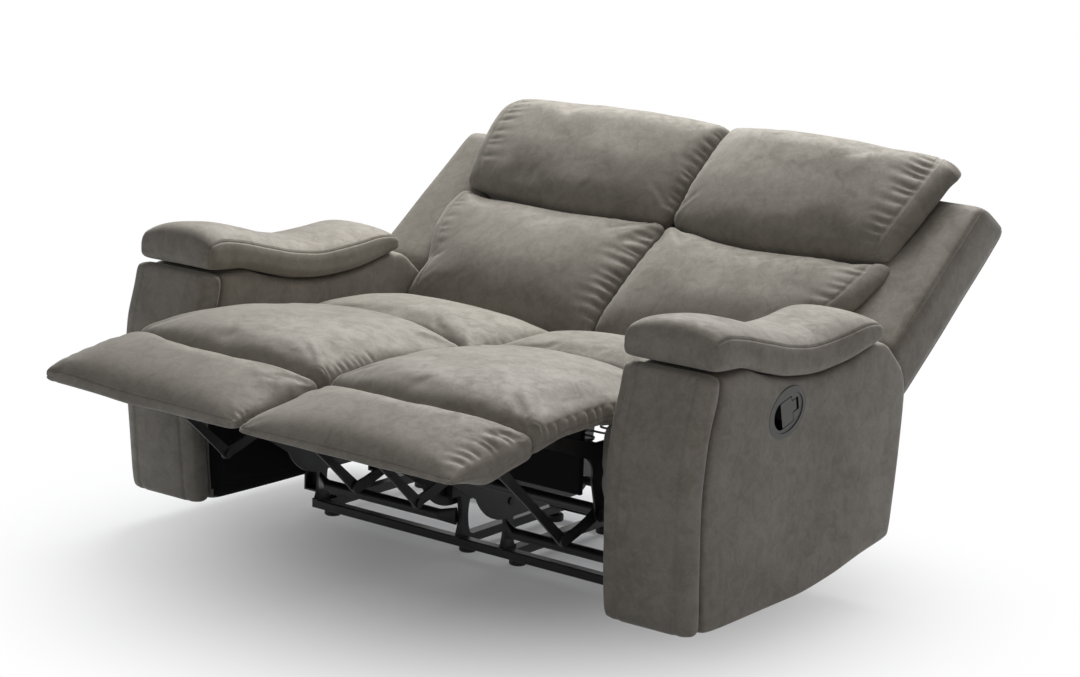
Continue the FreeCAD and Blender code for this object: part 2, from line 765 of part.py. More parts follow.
def footrest_bracket():
    """Bracket from the footrest hinge to the link pivot, flanged under the board."""
    x0 = seat_centre_x + arm_plane_offset
    x1 = x0 + arm_plane_thickness
    hy, hz = footrest_pivot
    by, bz = bracket_pivot
    low = 10.2
    plate = slab(
        x0, x1, (hy - 2.0, hz + 12.8), (-550.0, footrest_underside(-550.0) - low),
        (-686.0, footrest_underside(-686.0) - low), (-688.0, 390.0), ((-650.0, 386.0), (by - 10.0, bz - 6.0)),
        ((by - 2.0, bz - 12.0), (by + 8.0, bz - 9.0)), ((-545.0, 402.0), (hy + 2.0, hz - 12.8)),
        ((hy + 12.9, hz + 1.0), (hy - 2.0, hz + 12.8)))
    flange = slab(x0 - 24.0, x0 + 0.5, (-560.0, footrest_underside(-560.0) - low),
                  (-684.0, footrest_underside(-684.0) - low), (-684.0, footrest_underside(-684.0) - low - 3.0),
                  (-560.0, footrest_underside(-560.0) - low - 3.0))
    bracket = fused(plate, flange)
    bracket = bracket.cut(rod_x(footrest_pivot, pin_radius + running_clearance, x0 - 1.0, x1 + 1.0))
    x_link = seat_centre_x + link_plane_offset
    stud = rod_x(bracket_pivot, pin_radius - 1.0, x_link - 2.0, x0 + 0.5)
    head = rod_x(bracket_pivot, 8.5, x_link - 3.5, x_link - 0.8)
    return fused(bracket, stud, head)


def footrest_brackets():
    return both_plates(footrest_bracket())


# Footrest linkage: a parallelogram of crank, link, bracket and side plate

def crank():
    x0 = seat_centre_x + arm_plane_offset
    x1 = x0 + arm_plane_thickness
    ay, az = crank_pivot
    cy, cz = elbow_pivot
    plate = slab(
        x0, x1, (ay - 6.0, az + 14.0), ((-345.0, 240.0), (cy - 3.0, cz + 12.0)),
        ((cy - 12.4, cz - 1.0), (cy + 3.0, cz - 12.0)), ((-338.0, 218.0), (ay + 6.0, az - 14.0)),
        ((ay + 14.0, az + 6.0), (ay - 6.0, az + 14.0)))
    x_link = seat_centre_x + link_plane_offset
    stud = rod_x(elbow_pivot, pin_radius, x_link - 2.0, x0 + 0.5)
    head = rod_x(elbow_pivot, 9.0, x_link - 3.5, x_link - 0.6)
    journal = rod_x(crank_pivot, pin_radius, x1 - 0.5, seat_centre_x + plate_offset + plate_thickness + 1.0)
    end_head = rod_x(crank_pivot, 9.0, seat_centre_x + plate_offset + plate_thickness + 0.6,
                     seat_centre_x + plate_offset + plate_thickness + 2.8)
    return fused(plate, stud, head, journal, end_head)


def crank_shaft():
    """Both cranks of one seat, joined by the tube that the pull cable turns."""
    outer = crank()
    tube = rod_x(crank_pivot, 12.0, seat_centre_x - arm_plane_offset - 0.5, seat_centre_x + arm_plane_offset + 0.5)
    return fused(outer, mirrored(outer, seat_centre_x), tube)


def footrest_link():
    """Long link from the crank to the footrest bracket, open pivot at the bracket end."""
    x0 = seat_centre_x + link_plane_offset
    x1 = x0 + link_thickness
    along = (math.cos(math.radians(180.0 - link_angle)), math.sin(math.radians(180.0 - link_angle)))
    across = (-along[1], along[0])
    radius = 12.0
    waist = 9.0

    def at(origin, a, c):
        return (origin[0] + a * along[0] + c * across[0], origin[1] + a * along[1] + c * across[1])

    elbow = elbow_pivot
    middle = 0.5 * link_length
    link = slab(
        x0, x1, at(elbow, 0, radius), (at(elbow, middle, waist), at(elbow, link_length, radius)),
        (at(elbow, link_length + radius, 0), at(elbow, link_length, -radius)),
        (at(elbow, middle, -waist), at(elbow, 0, -radius)), (at(elbow, -radius, 0), at(elbow, 0, radius)))
    link = link.cut(rod_x(elbow_pivot, pin_radius + running_clearance, x0 - 1.0, x1 + 1.0))
    return link.cut(rod_x(bracket_pivot, pin_radius - 1.0 + open_pivot_clearance, x0 - 1.0, x1 + 1.0))


def footrest_links():
    return both_plates(footrest_link())


# Back

def back_frame():
    """Timber uprights and rails with the steel hinge brackets beside them."""
    low_t = back_rear_t + shell_thickness + 1.0
    lap_t = -86.0
    top_t = cushion_rear_t - 3.0
    upright = box(seat_centre_x + 150.0, seat_centre_x + arm_plane_offset - 0.5, 25.0, 600.0, low_t, lap_t)
    pieces = [upright, mirrored(upright, seat_centre_x)]
    for s in (28.0, 300.0, 548.0):
        pieces.append(box(16.0, back_outer_x - 6.0, s, s + 48.0, lap_t, top_t))
    bracket = back_bracket()
    pieces.append(bracket)
    pieces.append(mirrored(bracket, seat_centre_x))
    return on_back(Part.makeCompound(pieces))


def pivot_on_back():
    """The back's hinge axis in the back's own s, t."""
    dy, dz = sub(back_pivot, back_foot)
    c = math.cos(math.radians(back_angle))
    s = math.sin(math.radians(back_angle))
    return (dy * c + dz * s, -dy * s + dz * c)


def back_bracket():
    x0 = seat_centre_x + arm_plane_offset
    x1 = x0 + arm_plane_thickness
    ps, pt = pivot_on_back()
    plate = slab(
        x0, x1, (ps - 4.0, pt + 14.0), ((ps - 14.5, pt), (ps - 4.0, pt - 14.0)), ((30.0, -112.0), (70.0, -124.0)),
        (210.0, -124.0), ((222.0, -110.0), (210.0, -96.0)), (90.0, -90.0), ((34.0, -80.0), (ps + 14.0, pt - 4.0)),
        ((ps + 10.3, pt + 10.3), (ps - 4.0, pt + 14.0)))
    return plate.cut(rod_x((ps, pt), pin_radius + running_clearance, x0 - 1.0, x1 + 1.0))


def back_shell():
    """Rear cover of the back and the padded wing that stands beside the cushions."""
    long_s = 700.0
    front = wing_front_t
    rear = back_rear_t
    r_front = 38.0
    r_rear = 16.0
    k = 1.0 - math.sqrt(0.5)
    x_out = wing_outer_x

    def point(x, t):
        return V(x, 0, t)

    edges = [
        Part.makeLine(point(wing_inner_x + 10.0, front), point(x_out - r_front, front)),
        Part.Arc(point(x_out - r_front, front), point(x_out - k * r_front, front - k * r_front),
                 point(x_out, front - r_front)).toShape(),
        Part.makeLine(point(x_out, front - r_front), point(x_out, rear + r_rear)),
        Part.Arc(point(x_out, rear + r_rear), point(x_out - k * r_rear, rear + k * r_rear),
                 point(x_out - r_rear, rear)).toShape(),
        Part.makeLine(point(x_out - r_rear, rear), point(wing_inner_x, rear)),
        Part.makeLine(point(wing_inner_x, rear), point(wing_inner_x, front - 10.0)),
        Part.Arc(point(wing_inner_x, front - 10.0), point(wing_inner_x + 10.0 * k, front - 10.0 * k),
                 point(wing_inner_x + 10.0, front)).toShape(),
    ]
    wing = Part.Face(Part.Wire(edges)).extrude(V(0, long_s, 0))
    keep = slab(wing_inner_x - 5.0, x_out + 5.0, (118.0, front + 1.0), (572.0, front + 1.0),
                (626.0, rear - 1.0), (85.0, rear - 1.0))
    wing = wing.common(keep)
    return on_back(fused(wing, rear_tray()))


def rear_tray():
    """Rear panel with its inner side wall and top wall, open at the foot for the brackets."""
    wall = shell_thickness
    front = cushion_rear_t - 4.0
    outer = box(6.0, back_outer_x + 1.0, 12.0, 621.0, back_rear_t, front)
    joint = box(back_outer_x - 5.0, wing_inner_x + 1.0, 130.0, 621.0, back_rear_t, back_rear_t + wall)
    hollow = box(6.0 + wall, wing_inner_x + 5.0, 0.0, 621.0 - wall, back_rear_t + wall, front + 5.0)
    above_top = box(0.0, wing_inner_x + 5.0, 600.0, 640.0, -92.0, front + 5.0)
    tray = fused(outer.cut(hollow).cut(above_top), joint)
    corner = [e for e in tray.Edges if e.BoundBox.ZMax < back_rear_t + 0.1 and e.BoundBox.YMin > 620.0]
    return tray.makeFillet(6.0, corner)


lumbar_stations = (
    (3.0, cushion_rear_t, -40.0, -32.0),
    (16.0, cushion_rear_t, -14.0, 4.0),
    (60.0, cushion_rear_t, 6.0, 34.0),
    (150.0, cushion_rear_t, 8.0, 44.0),
    (250.0, cushion_rear_t, 4.0, 40.0),
    (325.0, cushion_rear_t, -8.0, 24.0),
    (358.0, cushion_rear_t, -20.0, 2.0),
    (waist_s - seam_gap, cushion_rear_t, -36.0, -26.0),
)

headrest_stations = (
    (waist_s, cushion_rear_t, -36.0, -26.0),
    (384.0, cushion_rear_t, -16.0, 8.0),
    (430.0, cushion_rear_t, 6.0, 38.0),
    (510.0, cushion_rear_t, 12.0, 48.0),
    (590.0, cushion_rear_t, 12.0, 48.0),
    (635.0, cushion_rear_t - 14.0, 2.0, 34.0),
    (662.0, cushion_rear_t - 22.0, -20.0, 4.0),
    (674.0, cushion_rear_t - 18.0, -48.0, -38.0),
)


def waist():
    return seam_bow(waist_depth, waist_outer_end)


def lumbar_cushion():
    return on_back(cushion(seat_inner_x + 2.0, back_outer_x, lumbar_stations, straight, waist()))


def headrest_cushion():
    return on_back(cushion(seat_inner_x + 2.0, back_outer_x, headrest_stations, waist()))


# Writing the sub-parts

central_parts = {
    "base_front_rail": front_rail,
    "base_rear_rail": rear_rail,
    "base_runners": runners,
    "glide_feet": glide_feet,
    "track_posts": track_posts,
    "track_rails": track_rails,
    "cross_tubes": cross_tubes,
    "arm_brackets": arm_brackets,
    "arm_bolts": arm_bolts,
}

handed_parts = {
    "arm_frame": arm_frame,
    "arm_front_panel": arm_front_panel,
    "arm_outer_panel": arm_outer_panel,
    "arm_inner_panel": arm_inner_panel,
    "arm_pad": arm_pad,
    "handle_cup": handle_cup,
    "pull_lever": pull_lever,
    "side_plates": side_plates,
    "track_rollers": roller_set,
    "hinge_pins": hinge_pins,
    "seat_rails": seat_rails,
    "seat_springs": seat_springs,
    "front_board": front_board,
    "thigh_cushion": thigh_cushion,
    "seat_cushion": seat_cushion,
    "footrest_bridge": footrest_bridge,
    "footrest_pad": footrest_pad,
    "footrest_board": footrest_board,
    "footrest_brackets": footrest_brackets,
    "crank_shaft": crank_shaft,
    "footrest_links": footrest_links,
    "back_frame": back_frame,
    "back_shell": back_shell,
    "lumbar_cushion": lumbar_cushion,
    "headrest_cushion": headrest_cushion,
}


def write(name, shape):
    shape.exportStep("parts/" + name + ".step")
    b = shape.BoundBox
    state = "valid" if shape.isValid() else "INVALID"
    print(name, len(shape.Solids), "solids", state, "x %.0f %.0f y %.0f %.0f z %.0f %.0f" % (
        b.XMin, b.XMax, b.YMin, b.YMax, b.ZMin, b.ZMax))


def main():
    os.makedirs("parts", exist_ok=True)
    for name, make in central_parts.items():
        write(name, make())
    for name, make in handed_parts.items():
        right = make()
        write(name + "_right", right)
        write(name + "_left", mirrored(right))


main()
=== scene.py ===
import json
import math
import bmesh
import bpy
import numpy as np
from mathutils import Matrix, Vector
from mathutils.bvhtree import BVHTree


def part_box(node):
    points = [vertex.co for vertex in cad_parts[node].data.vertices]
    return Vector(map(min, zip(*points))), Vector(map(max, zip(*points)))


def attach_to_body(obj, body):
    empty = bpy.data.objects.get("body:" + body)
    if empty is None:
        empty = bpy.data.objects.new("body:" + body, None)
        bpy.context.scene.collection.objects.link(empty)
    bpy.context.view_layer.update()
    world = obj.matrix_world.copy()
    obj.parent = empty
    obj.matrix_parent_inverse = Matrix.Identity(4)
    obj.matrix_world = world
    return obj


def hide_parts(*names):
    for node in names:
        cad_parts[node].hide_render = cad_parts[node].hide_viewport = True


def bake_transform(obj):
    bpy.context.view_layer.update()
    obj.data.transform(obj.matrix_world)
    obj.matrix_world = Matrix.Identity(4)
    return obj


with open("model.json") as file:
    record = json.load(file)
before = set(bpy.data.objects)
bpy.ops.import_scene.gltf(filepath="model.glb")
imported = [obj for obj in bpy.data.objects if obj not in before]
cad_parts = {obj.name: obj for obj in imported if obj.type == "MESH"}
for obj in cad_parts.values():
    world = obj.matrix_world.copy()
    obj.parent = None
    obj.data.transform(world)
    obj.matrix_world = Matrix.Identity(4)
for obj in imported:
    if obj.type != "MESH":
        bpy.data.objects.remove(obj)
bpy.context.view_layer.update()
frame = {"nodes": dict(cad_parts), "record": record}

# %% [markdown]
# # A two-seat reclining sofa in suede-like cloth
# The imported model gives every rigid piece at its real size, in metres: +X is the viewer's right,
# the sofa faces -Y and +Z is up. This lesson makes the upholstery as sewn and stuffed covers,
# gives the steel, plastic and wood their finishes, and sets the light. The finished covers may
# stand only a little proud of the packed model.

SIDES = {"right": 1.0, "left": -1.0}

# %% [markdown]
# ## Camera
# The view is the photograph's: from the front right, a little above the arms, through a long lens.
# A camera looks along its own -Z, so its matrix is built from three directions: right, up and back.
# Turning right and up about the line of sight gives the small roll of a hand-held shot.

# %% Camera
camera_place = Vector((3.2134, -4.1965, 1.6651))
camera_yaw = math.radians(36.79)
camera_pitch = math.radians(12.66)
camera_roll = math.radians(2.17)
camera_lens = 85.17


def make_camera():
    back = Vector((math.sin(camera_yaw) * math.cos(camera_pitch),
                   -math.cos(camera_yaw) * math.cos(camera_pitch), math.sin(camera_pitch)))
    right = Vector((0, 0, 1)).cross(back).normalized()
    up = back.cross(right)
    turned_right = math.cos(camera_roll) * right + math.sin(camera_roll) * up
    turned_up = -math.sin(camera_roll) * right + math.cos(camera_roll) * up
    data = bpy.data.cameras.new("camera")
    data.lens = camera_lens
    data.sensor_width = 36.0
    camera = bpy.data.objects.new("camera", data)
    bpy.context.scene.collection.objects.link(camera)
    axes = Matrix((turned_right, turned_up, back)).transposed()
    camera.matrix_world = Matrix.Translation(camera_place) @ axes.to_4x4()
    bpy.context.scene.camera = camera


make_camera()
print("camera", round((camera_place - Vector((0, 0, 0.4))).length, 2), "metres from the middle of the sofa")

# %% [markdown]
# ## Floor and light
# The room is a white sweep: a floor that turns up into a wall. Away from the sofa a camera ray sees
# plain white glow, and near it mostly the real floor, which takes the soft shadow. Between them the
# glow fades in, a painted light over the outer part of that shadow. So the background is white
# without more light on the sofa. The main light is a wide soft box above and behind, to the left:
# it brightens the level seats and leaves the leaning backs and the arm fronts darker. Two weak
# boxes fill the front and the right side. Each box has a place, a target, a width, a depth, a
# strength in watts and a colour.

# %% Shape of the sweep
sweep_half_width = 9.0
sweep_front = -7.0
sweep_rear = 5.0
sweep_radius = 2.0
sweep_height = 6.0

def link(obj):
    bpy.context.scene.collection.objects.link(obj)
    return obj


def mesh_object(name, points, faces):
    mesh = bpy.data.meshes.new(name)
    mesh.from_pydata([tuple(p) for p in points], [], [tuple(int(i) for i in f) for f in faces])
    mesh.update()
    return link(bpy.data.objects.new(name, mesh))


def shade_smooth(obj, smooth=True):
    obj.data.polygons.foreach_set("use_smooth", [smooth] * len(obj.data.polygons))
    return obj


def sweep_profile():
    arc = [(sweep_rear + sweep_radius * math.sin(a), sweep_radius - sweep_radius * math.cos(a))
           for a in np.linspace(0.0, 0.5 * math.pi, 13)]
    return [(sweep_front, 0.0)] + arc + [(sweep_rear + sweep_radius, sweep_height)]


print("sweep profile", len(sweep_profile()), "points")

# %% Paint of the sweep
# The glow fades in between these distances from the sofa. It is painted light that lightens the floor's
# shadow, and a little of it lies over the shadow next to the sofa.
sweep_plain_from = 0.25
sweep_white_from = 1.25
sweep_near_glow = 0.15
# The sweep's paint is tinted blue. This is the painted cool colour of the shade on the floor, because the lit
# floor shows as white glow.
sweep_cool_shade_paint = (0.76, 0.78, 0.83, 1)


def sweep_material():
    material = bpy.data.materials.new("white_sweep")
    material.use_nodes = True
    nodes, links = material.node_tree.nodes, material.node_tree.links
    nodes.clear()
    out = nodes.new("ShaderNodeOutputMaterial")
    paint = nodes.new("ShaderNodeBsdfDiffuse")
    paint.inputs["Color"].default_value = sweep_cool_shade_paint
    glow = nodes.new("ShaderNodeEmission")
    glow.inputs["Strength"].default_value = 1.0
    rays = nodes.new("ShaderNodeLightPath")
    seen = nodes.new("ShaderNodeMath")
    seen.operation = "MAXIMUM"
    place = nodes.new("ShaderNodeTexCoord")
    distance = nodes.new("ShaderNodeVectorMath")
    distance.operation = "LENGTH"
    away = nodes.new("ShaderNodeMapRange")
    away.interpolation_type = "SMOOTHSTEP"
    for label, number in (("From Min", sweep_plain_from), ("From Max", sweep_white_from),
                          ("To Min", sweep_near_glow), ("To Max", 1.0)):
        away.inputs[label].default_value = number
    share = nodes.new("ShaderNodeMath")
    share.operation = "MULTIPLY"
    mix = nodes.new("ShaderNodeMixShader")
    links.new(place.outputs["Object"], distance.inputs[0])
    links.new(distance.outputs["Value"], away.inputs["Value"])
    links.new(away.outputs["Result"], share.inputs[1])
    links.new(rays.outputs["Is Camera Ray"], seen.inputs[0])
    links.new(rays.outputs["Is Glossy Ray"], seen.inputs[1])
    links.new(seen.outputs[0], share.inputs[0])
    links.new(share.outputs[0], mix.inputs[0])
    links.new(paint.outputs[0], mix.inputs[1])
    links.new(glow.outputs[0], mix.inputs[2])
    links.new(mix.outputs[0], out.inputs["Surface"])
    return material


def make_sweep():
    line = sweep_profile()
    points = [(x, y, z) for y, z in line for x in (-sweep_half_width, sweep_half_width)]
    faces = [(2 * k, 2 * k + 1, 2 * k + 3, 2 * k + 2) for k in range(len(line) - 1)]
    sweep = shade_smooth(mesh_object("floor_sweep", points, faces))
    sweep.data.materials.append(sweep_material())
    return sweep


sweep = make_sweep()
print("sweep", len(sweep.data.polygons), "faces")

# %% World and lights
room_colour = (0.90, 0.94, 1.0, 1)
room_strength = 0.17
lamps = {
    "key": ((-0.9, 2.3, 3.2), (0.0, -0.2, 0.4), 3.2, 2.2, 238.0, (1.0, 0.98, 0.94)),
    "front_fill": ((1.0, -4.5, 2.8), (0.0, 0.0, 0.4), 2.4, 1.8, 29.0, (1.0, 0.97, 0.93)),
    "side_fill": ((4.2, -0.8, 1.7), (0.3, 0.0, 0.4), 2.0, 2.0, 7.5, (1.0, 0.72, 0.46)),
}


def soft_box(name, place, target, width, depth, watts, colour):
    data = bpy.data.lights.new(name, "AREA")
    data.shape = "RECTANGLE"
    data.size, data.size_y = width, depth
    data.energy = watts
    data.color = colour
    lamp = link(bpy.data.objects.new(name, data))
    lamp.location = place
    lamp.rotation_euler = (Vector(target) - Vector(place)).to_track_quat("-Z", "Y").to_euler()


def white_world():
    world = bpy.data.worlds.new("studio")
    world.use_nodes = True
    nodes, links = world.node_tree.nodes, world.node_tree.links
    nodes.clear()
    out = nodes.new("ShaderNodeOutputWorld")
    around = nodes.new("ShaderNodeBackground")
    around.inputs["Color"].default_value = room_colour
    around.inputs["Strength"].default_value = room_strength
    behind = nodes.new("ShaderNodeBackground")
    behind.inputs["Color"].default_value = (1, 1, 1, 1)
    behind.inputs["Strength"].default_value = 1.0
    rays = nodes.new("ShaderNodeLightPath")
    mix = nodes.new("ShaderNodeMixShader")
    links.new(rays.outputs["Is Camera Ray"], mix.inputs[0])
    links.new(around.outputs[0], mix.inputs[1])
    links.new(behind.outputs[0], mix.inputs[2])
    links.new(mix.outputs[0], out.inputs["Surface"])
    bpy.context.scene.world = world


white_world()
for name, settings in lamps.items():
    soft_box(name, *settings)
bpy.context.scene.view_settings.view_transform = "Standard"
print("soft boxes", {name: settings[4] for name, settings in lamps.items()}, "watts")

# %% [markdown]
# ## Shader groups
# Several finishes share the same effects, so each effect is a node group with named inputs, built
# once: mottle gives slow and fast colour changes, weave gives the height of a plain cloth, and
# grain gives fine roughness to paint, plastic and steel. Groups put out only values and colours.
# They read Object coordinates, so a pattern stays on its piece when the piece moves.

# %% Shader helpers


def new_group(name, inputs, outputs):
    group = bpy.data.node_groups.new(name, "ShaderNodeTree")
    for label, kind, value in inputs:
        socket = group.interface.new_socket(label, in_out="INPUT", socket_type=kind)
        if value is not None:
            socket.default_value = value
    for label, kind in outputs:
        group.interface.new_socket(label, in_out="OUTPUT", socket_type=kind)
    return group, group.nodes.new("NodeGroupInput"), group.nodes.new("NodeGroupOutput")


def feed(tree, socket, value):
    """Links a socket to another node's output, or sets it to a plain value."""
    if hasattr(value, "is_output"):
        tree.links.new(value, socket)
    else:
        socket.default_value = value


def math_node(tree, operation, a, b=None, clamp=False):
    node = tree.nodes.new("ShaderNodeMath")
    node.operation = operation
    node.use_clamp = clamp
    feed(tree, node.inputs[0], a)
    if b is not None:
        feed(tree, node.inputs[1], b)
    return node.outputs[0]


def noise_node(tree, scale, detail, roughness=0.5, stretch=None, distortion=0.0):
    place = tree.nodes.new("ShaderNodeTexCoord").outputs["Object"]
    if stretch is not None:
        mapping = tree.nodes.new("ShaderNodeMapping")
        mapping.inputs["Scale"].default_value = stretch
        tree.links.new(place, mapping.inputs["Vector"])
        place = mapping.outputs["Vector"]
    node = tree.nodes.new("ShaderNodeTexNoise")
    tree.links.new(place, node.inputs["Vector"])
    node.inputs["Scale"].default_value = scale
    node.inputs["Detail"].default_value = detail
    node.inputs["Roughness"].default_value = roughness
    node.inputs["Distortion"].default_value = distortion
    return node.outputs["Fac"]


def band(tree, value, low, high, to_low=0.0, to_high=1.0):
    """Stretches the part of a value between two limits over a new range."""
    node = tree.nodes.new("ShaderNodeMapRange")
    node.interpolation_type = "SMOOTHSTEP"
    tree.links.new(value, node.inputs["Value"])
    for label, number in (("From Min", low), ("From Max", high), ("To Min", to_low), ("To Max", to_high)):
        node.inputs[label].default_value = number
    return node.outputs["Result"]


def mix_colour(tree, factor, a, b):
    """Mixes two colours with a Mix node, whose sockets for numbers and vectors are passed over."""
    node = tree.nodes.new("ShaderNodeMix")
    node.data_type = "RGBA"
    colour_a, colour_b = [socket for socket in node.inputs if socket.type == "RGBA"][:2]
    tree.links.new(factor, node.inputs[0])
    feed(tree, colour_a, a)
    feed(tree, colour_b, b)
    return [socket for socket in node.outputs if socket.type == "RGBA"][0]


# %% Mottle
broad_share = 0.22
cloud_share = 0.34
fleck_share = 0.36
veins = ((17.0, 0.12), (43.0, 0.10))
vein_width = 0.022
hair_height = 0.6
fleck_height = 0.9


def mottle_group():
    """Broad patches, clouds and flecks added up, with a net of thin light veins taken out."""
    group, start, end = new_group(
        "mottle",
        [("Light", "NodeSocketColor", None), ("Dark", "NodeSocketColor", None),
         ("Amount", "NodeSocketFloat", 1.0)],
        [("Color", "NodeSocketColor"), ("Nap", "NodeSocketFloat"), ("Height", "NodeSocketFloat")])
    broad = band(group, noise_node(group, 5.0, 3.0, 0.55, distortion=0.6), 0.30, 0.72)
    cloud = band(group, noise_node(group, 30.0, 6.0, 0.66, distortion=0.8), 0.28, 0.74)
    fleck = noise_node(group, 170.0, 4.0, 0.7)
    total = math_node(group, "ADD", math_node(group, "MULTIPLY", broad, broad_share),
                      math_node(group, "MULTIPLY", cloud, cloud_share))
    total = math_node(group, "ADD", total, math_node(group, "MULTIPLY", fleck, fleck_share))
    for scale, strength in veins:
        ridge = noise_node(group, scale, 7.0, 0.68, distortion=1.4)
        ridge = math_node(group, "ABSOLUTE", math_node(group, "SUBTRACT", ridge, 0.5))
        vein = band(group, ridge, 0.0, vein_width, strength, 0.0)
        total = math_node(group, "SUBTRACT", total, vein)
    factor = math_node(group, "MULTIPLY", total, start.outputs["Amount"], clamp=True)
    colour = mix_colour(group, factor, start.outputs["Light"], start.outputs["Dark"])
    group.links.new(colour, end.inputs["Color"])
    group.links.new(total, end.inputs["Nap"])
    hair = noise_node(group, 900.0, 2.0, 0.6)
    height = math_node(group, "ADD", math_node(group, "MULTIPLY", hair, hair_height),
                       math_node(group, "MULTIPLY", fleck, fleck_height))
    group.links.new(height, end.inputs["Height"])
    return group


mottle = mottle_group()
print(mottle.name, len(mottle.nodes), "nodes")

# %% Weave and grain


def weave_group():
    """The height of plain cloth: crossed sine waves, so many radians to the metre."""
    group, start, end = new_group(
        "weave", [("Threads", "NodeSocketFloat", 900.0)], [("Height", "NodeSocketFloat")])
    place = group.nodes.new("ShaderNodeTexCoord").outputs["Object"]
    parts = group.nodes.new("ShaderNodeSeparateXYZ")
    group.links.new(place, parts.inputs[0])
    waves = []
    for axis in ("X", "Y", "Z"):
        turn = math_node(group, "MULTIPLY", parts.outputs[axis], start.outputs["Threads"])
        waves.append(math_node(group, "SINE", turn))
    height = math_node(group, "MULTIPLY", waves[0], waves[1])
    height = math_node(group, "ADD", height, math_node(group, "MULTIPLY", waves[2], 0.5))
    group.links.new(height, end.inputs["Height"])
    return group


def grain_group():
    """A roughness that varies between two limits, and patches of dust."""
    group, start, end = new_group(
        "grain",
        [("Scale", "NodeSocketFloat", 300.0), ("Low", "NodeSocketFloat", 0.4),
         ("High", "NodeSocketFloat", 0.6)],
        [("Roughness", "NodeSocketFloat"), ("Height", "NodeSocketFloat"), ("Dust", "NodeSocketFloat")])
    place = group.nodes.new("ShaderNodeTexCoord").outputs["Object"]
    fine = group.nodes.new("ShaderNodeTexNoise")
    fine.inputs["Detail"].default_value = 4.0
    group.links.new(place, fine.inputs["Vector"])
    group.links.new(start.outputs["Scale"], fine.inputs["Scale"])
    spread = group.nodes.new("ShaderNodeMapRange")
    group.links.new(fine.outputs["Fac"], spread.inputs["Value"])
    group.links.new(start.outputs["Low"], spread.inputs["To Min"])
    group.links.new(start.outputs["High"], spread.inputs["To Max"])
    group.links.new(spread.outputs["Result"], end.inputs["Roughness"])
    group.links.new(fine.outputs["Fac"], end.inputs["Height"])
    group.links.new(band(group, noise_node(group, 14.0, 5.0), 0.45, 0.75), end.inputs["Dust"])
    return group


weave = weave_group()
grain = grain_group()
print(weave.name, len(weave.nodes), "nodes;", grain.name, len(grain.nodes), "nodes")

# %% [markdown]
# ## Finishes
# The cover is a suede-like polyester: a warm grey that is brushed lighter and darker in soft
# clouds, with a fine nap that brightens at a low angle. The nap's brightness is the shader's own
# sheen, and the fine height comes from noise. The mechanism is black painted steel with bright
# zinc pivots, the feet and the cup are moulded plastic, and the hidden boards are plywood.

# %% Finish helpers


def principled(name, colour, roughness, metallic=0.0, sheen=0.0, specular=0.5):
    material = bpy.data.materials.new(name)
    material.use_nodes = True
    shader = material.node_tree.nodes["Principled BSDF"]
    shader.inputs["Base Color"].default_value = (*colour, 1)
    shader.inputs["Roughness"].default_value = roughness
    shader.inputs["Metallic"].default_value = metallic
    shader.inputs["Sheen Weight"].default_value = sheen
    shader.inputs["Sheen Roughness"].default_value = 0.42
    shader.inputs["Specular IOR Level"].default_value = specular
    return material, material.node_tree, shader


def use_group(tree, group, **values):
    node = tree.nodes.new("ShaderNodeGroup")
    node.node_tree = group
    for label, value in values.items():
        node.inputs[label].default_value = value
    return node


def add_bump(tree, shader, height, strength, distance):
    bump = tree.nodes.new("ShaderNodeBump")
    bump.inputs["Strength"].default_value = strength
    bump.inputs["Distance"].default_value = distance
    tree.links.new(height, bump.inputs["Height"])
    tree.links.new(bump.outputs["Normal"], shader.inputs["Normal"])


# %% Cloth and thread
suede_light = (0.300, 0.277, 0.240, 1)
suede_dark = (0.142, 0.128, 0.105, 1)


def suede_finish():
    material, tree, shader = principled("suede_cover", suede_light[:3], 0.82, sheen=0.30, specular=0.28)
    cloth = use_group(tree, mottle, Light=suede_light, Dark=suede_dark, Amount=1.05)
    tree.links.new(cloth.outputs["Color"], shader.inputs["Base Color"])
    tree.links.new(band(tree, cloth.outputs["Nap"], 0.2, 0.9, 0.60, 0.86), shader.inputs["Roughness"])
    add_bump(tree, shader, cloth.outputs["Height"], 0.35, 0.0006)
    return material


def thread_finish():
    material, tree, shader = principled("thread", (0.30, 0.28, 0.245), 0.6, specular=0.3)
    fibre = use_group(tree, grain, Scale=2500.0, Low=0.45, High=0.75)
    tree.links.new(fibre.outputs["Roughness"], shader.inputs["Roughness"])
    return material


black_thread = (0.010, 0.010, 0.011, 1)
worn_thread = (0.020, 0.020, 0.021, 1)


def black_cloth_finish():
    material, tree, shader = principled("black_cloth", (0.012, 0.012, 0.013), 0.95, sheen=0.08, specular=0.15)
    cloth = use_group(tree, weave, Threads=4200.0)
    add_bump(tree, shader, cloth.outputs["Height"], 0.5, 0.0003)
    specks = use_group(tree, mottle, Light=black_thread, Dark=worn_thread, Amount=0.8)
    tree.links.new(specks.outputs["Color"], shader.inputs["Base Color"])
    return material


suede = suede_finish()
thread = thread_finish()
black_cloth = black_cloth_finish()
print("cloth finishes", [material.name for material in (suede, thread, black_cloth)])

# %% Steel, plastic and wood


def hard_finish(name, clean, dusty, low, high, metallic, bump):
    """Paint, plated steel or plastic: a colour with some dust on it, and a grainy roughness."""
    material, tree, shader = principled(name, clean[:3], 0.5, metallic=metallic)
    surface = use_group(tree, grain, Scale=420.0, Low=low, High=high)
    dust = math_node(tree, "MULTIPLY", surface.outputs["Dust"], 0.5)
    tree.links.new(mix_colour(tree, dust, clean, dusty), shader.inputs["Base Color"])
    tree.links.new(surface.outputs["Roughness"], shader.inputs["Roughness"])
    add_bump(tree, shader, surface.outputs["Height"], bump, 0.0003)
    return material


pale_wood = (0.52, 0.36, 0.20, 1)
dark_wood = (0.33, 0.20, 0.10, 1)


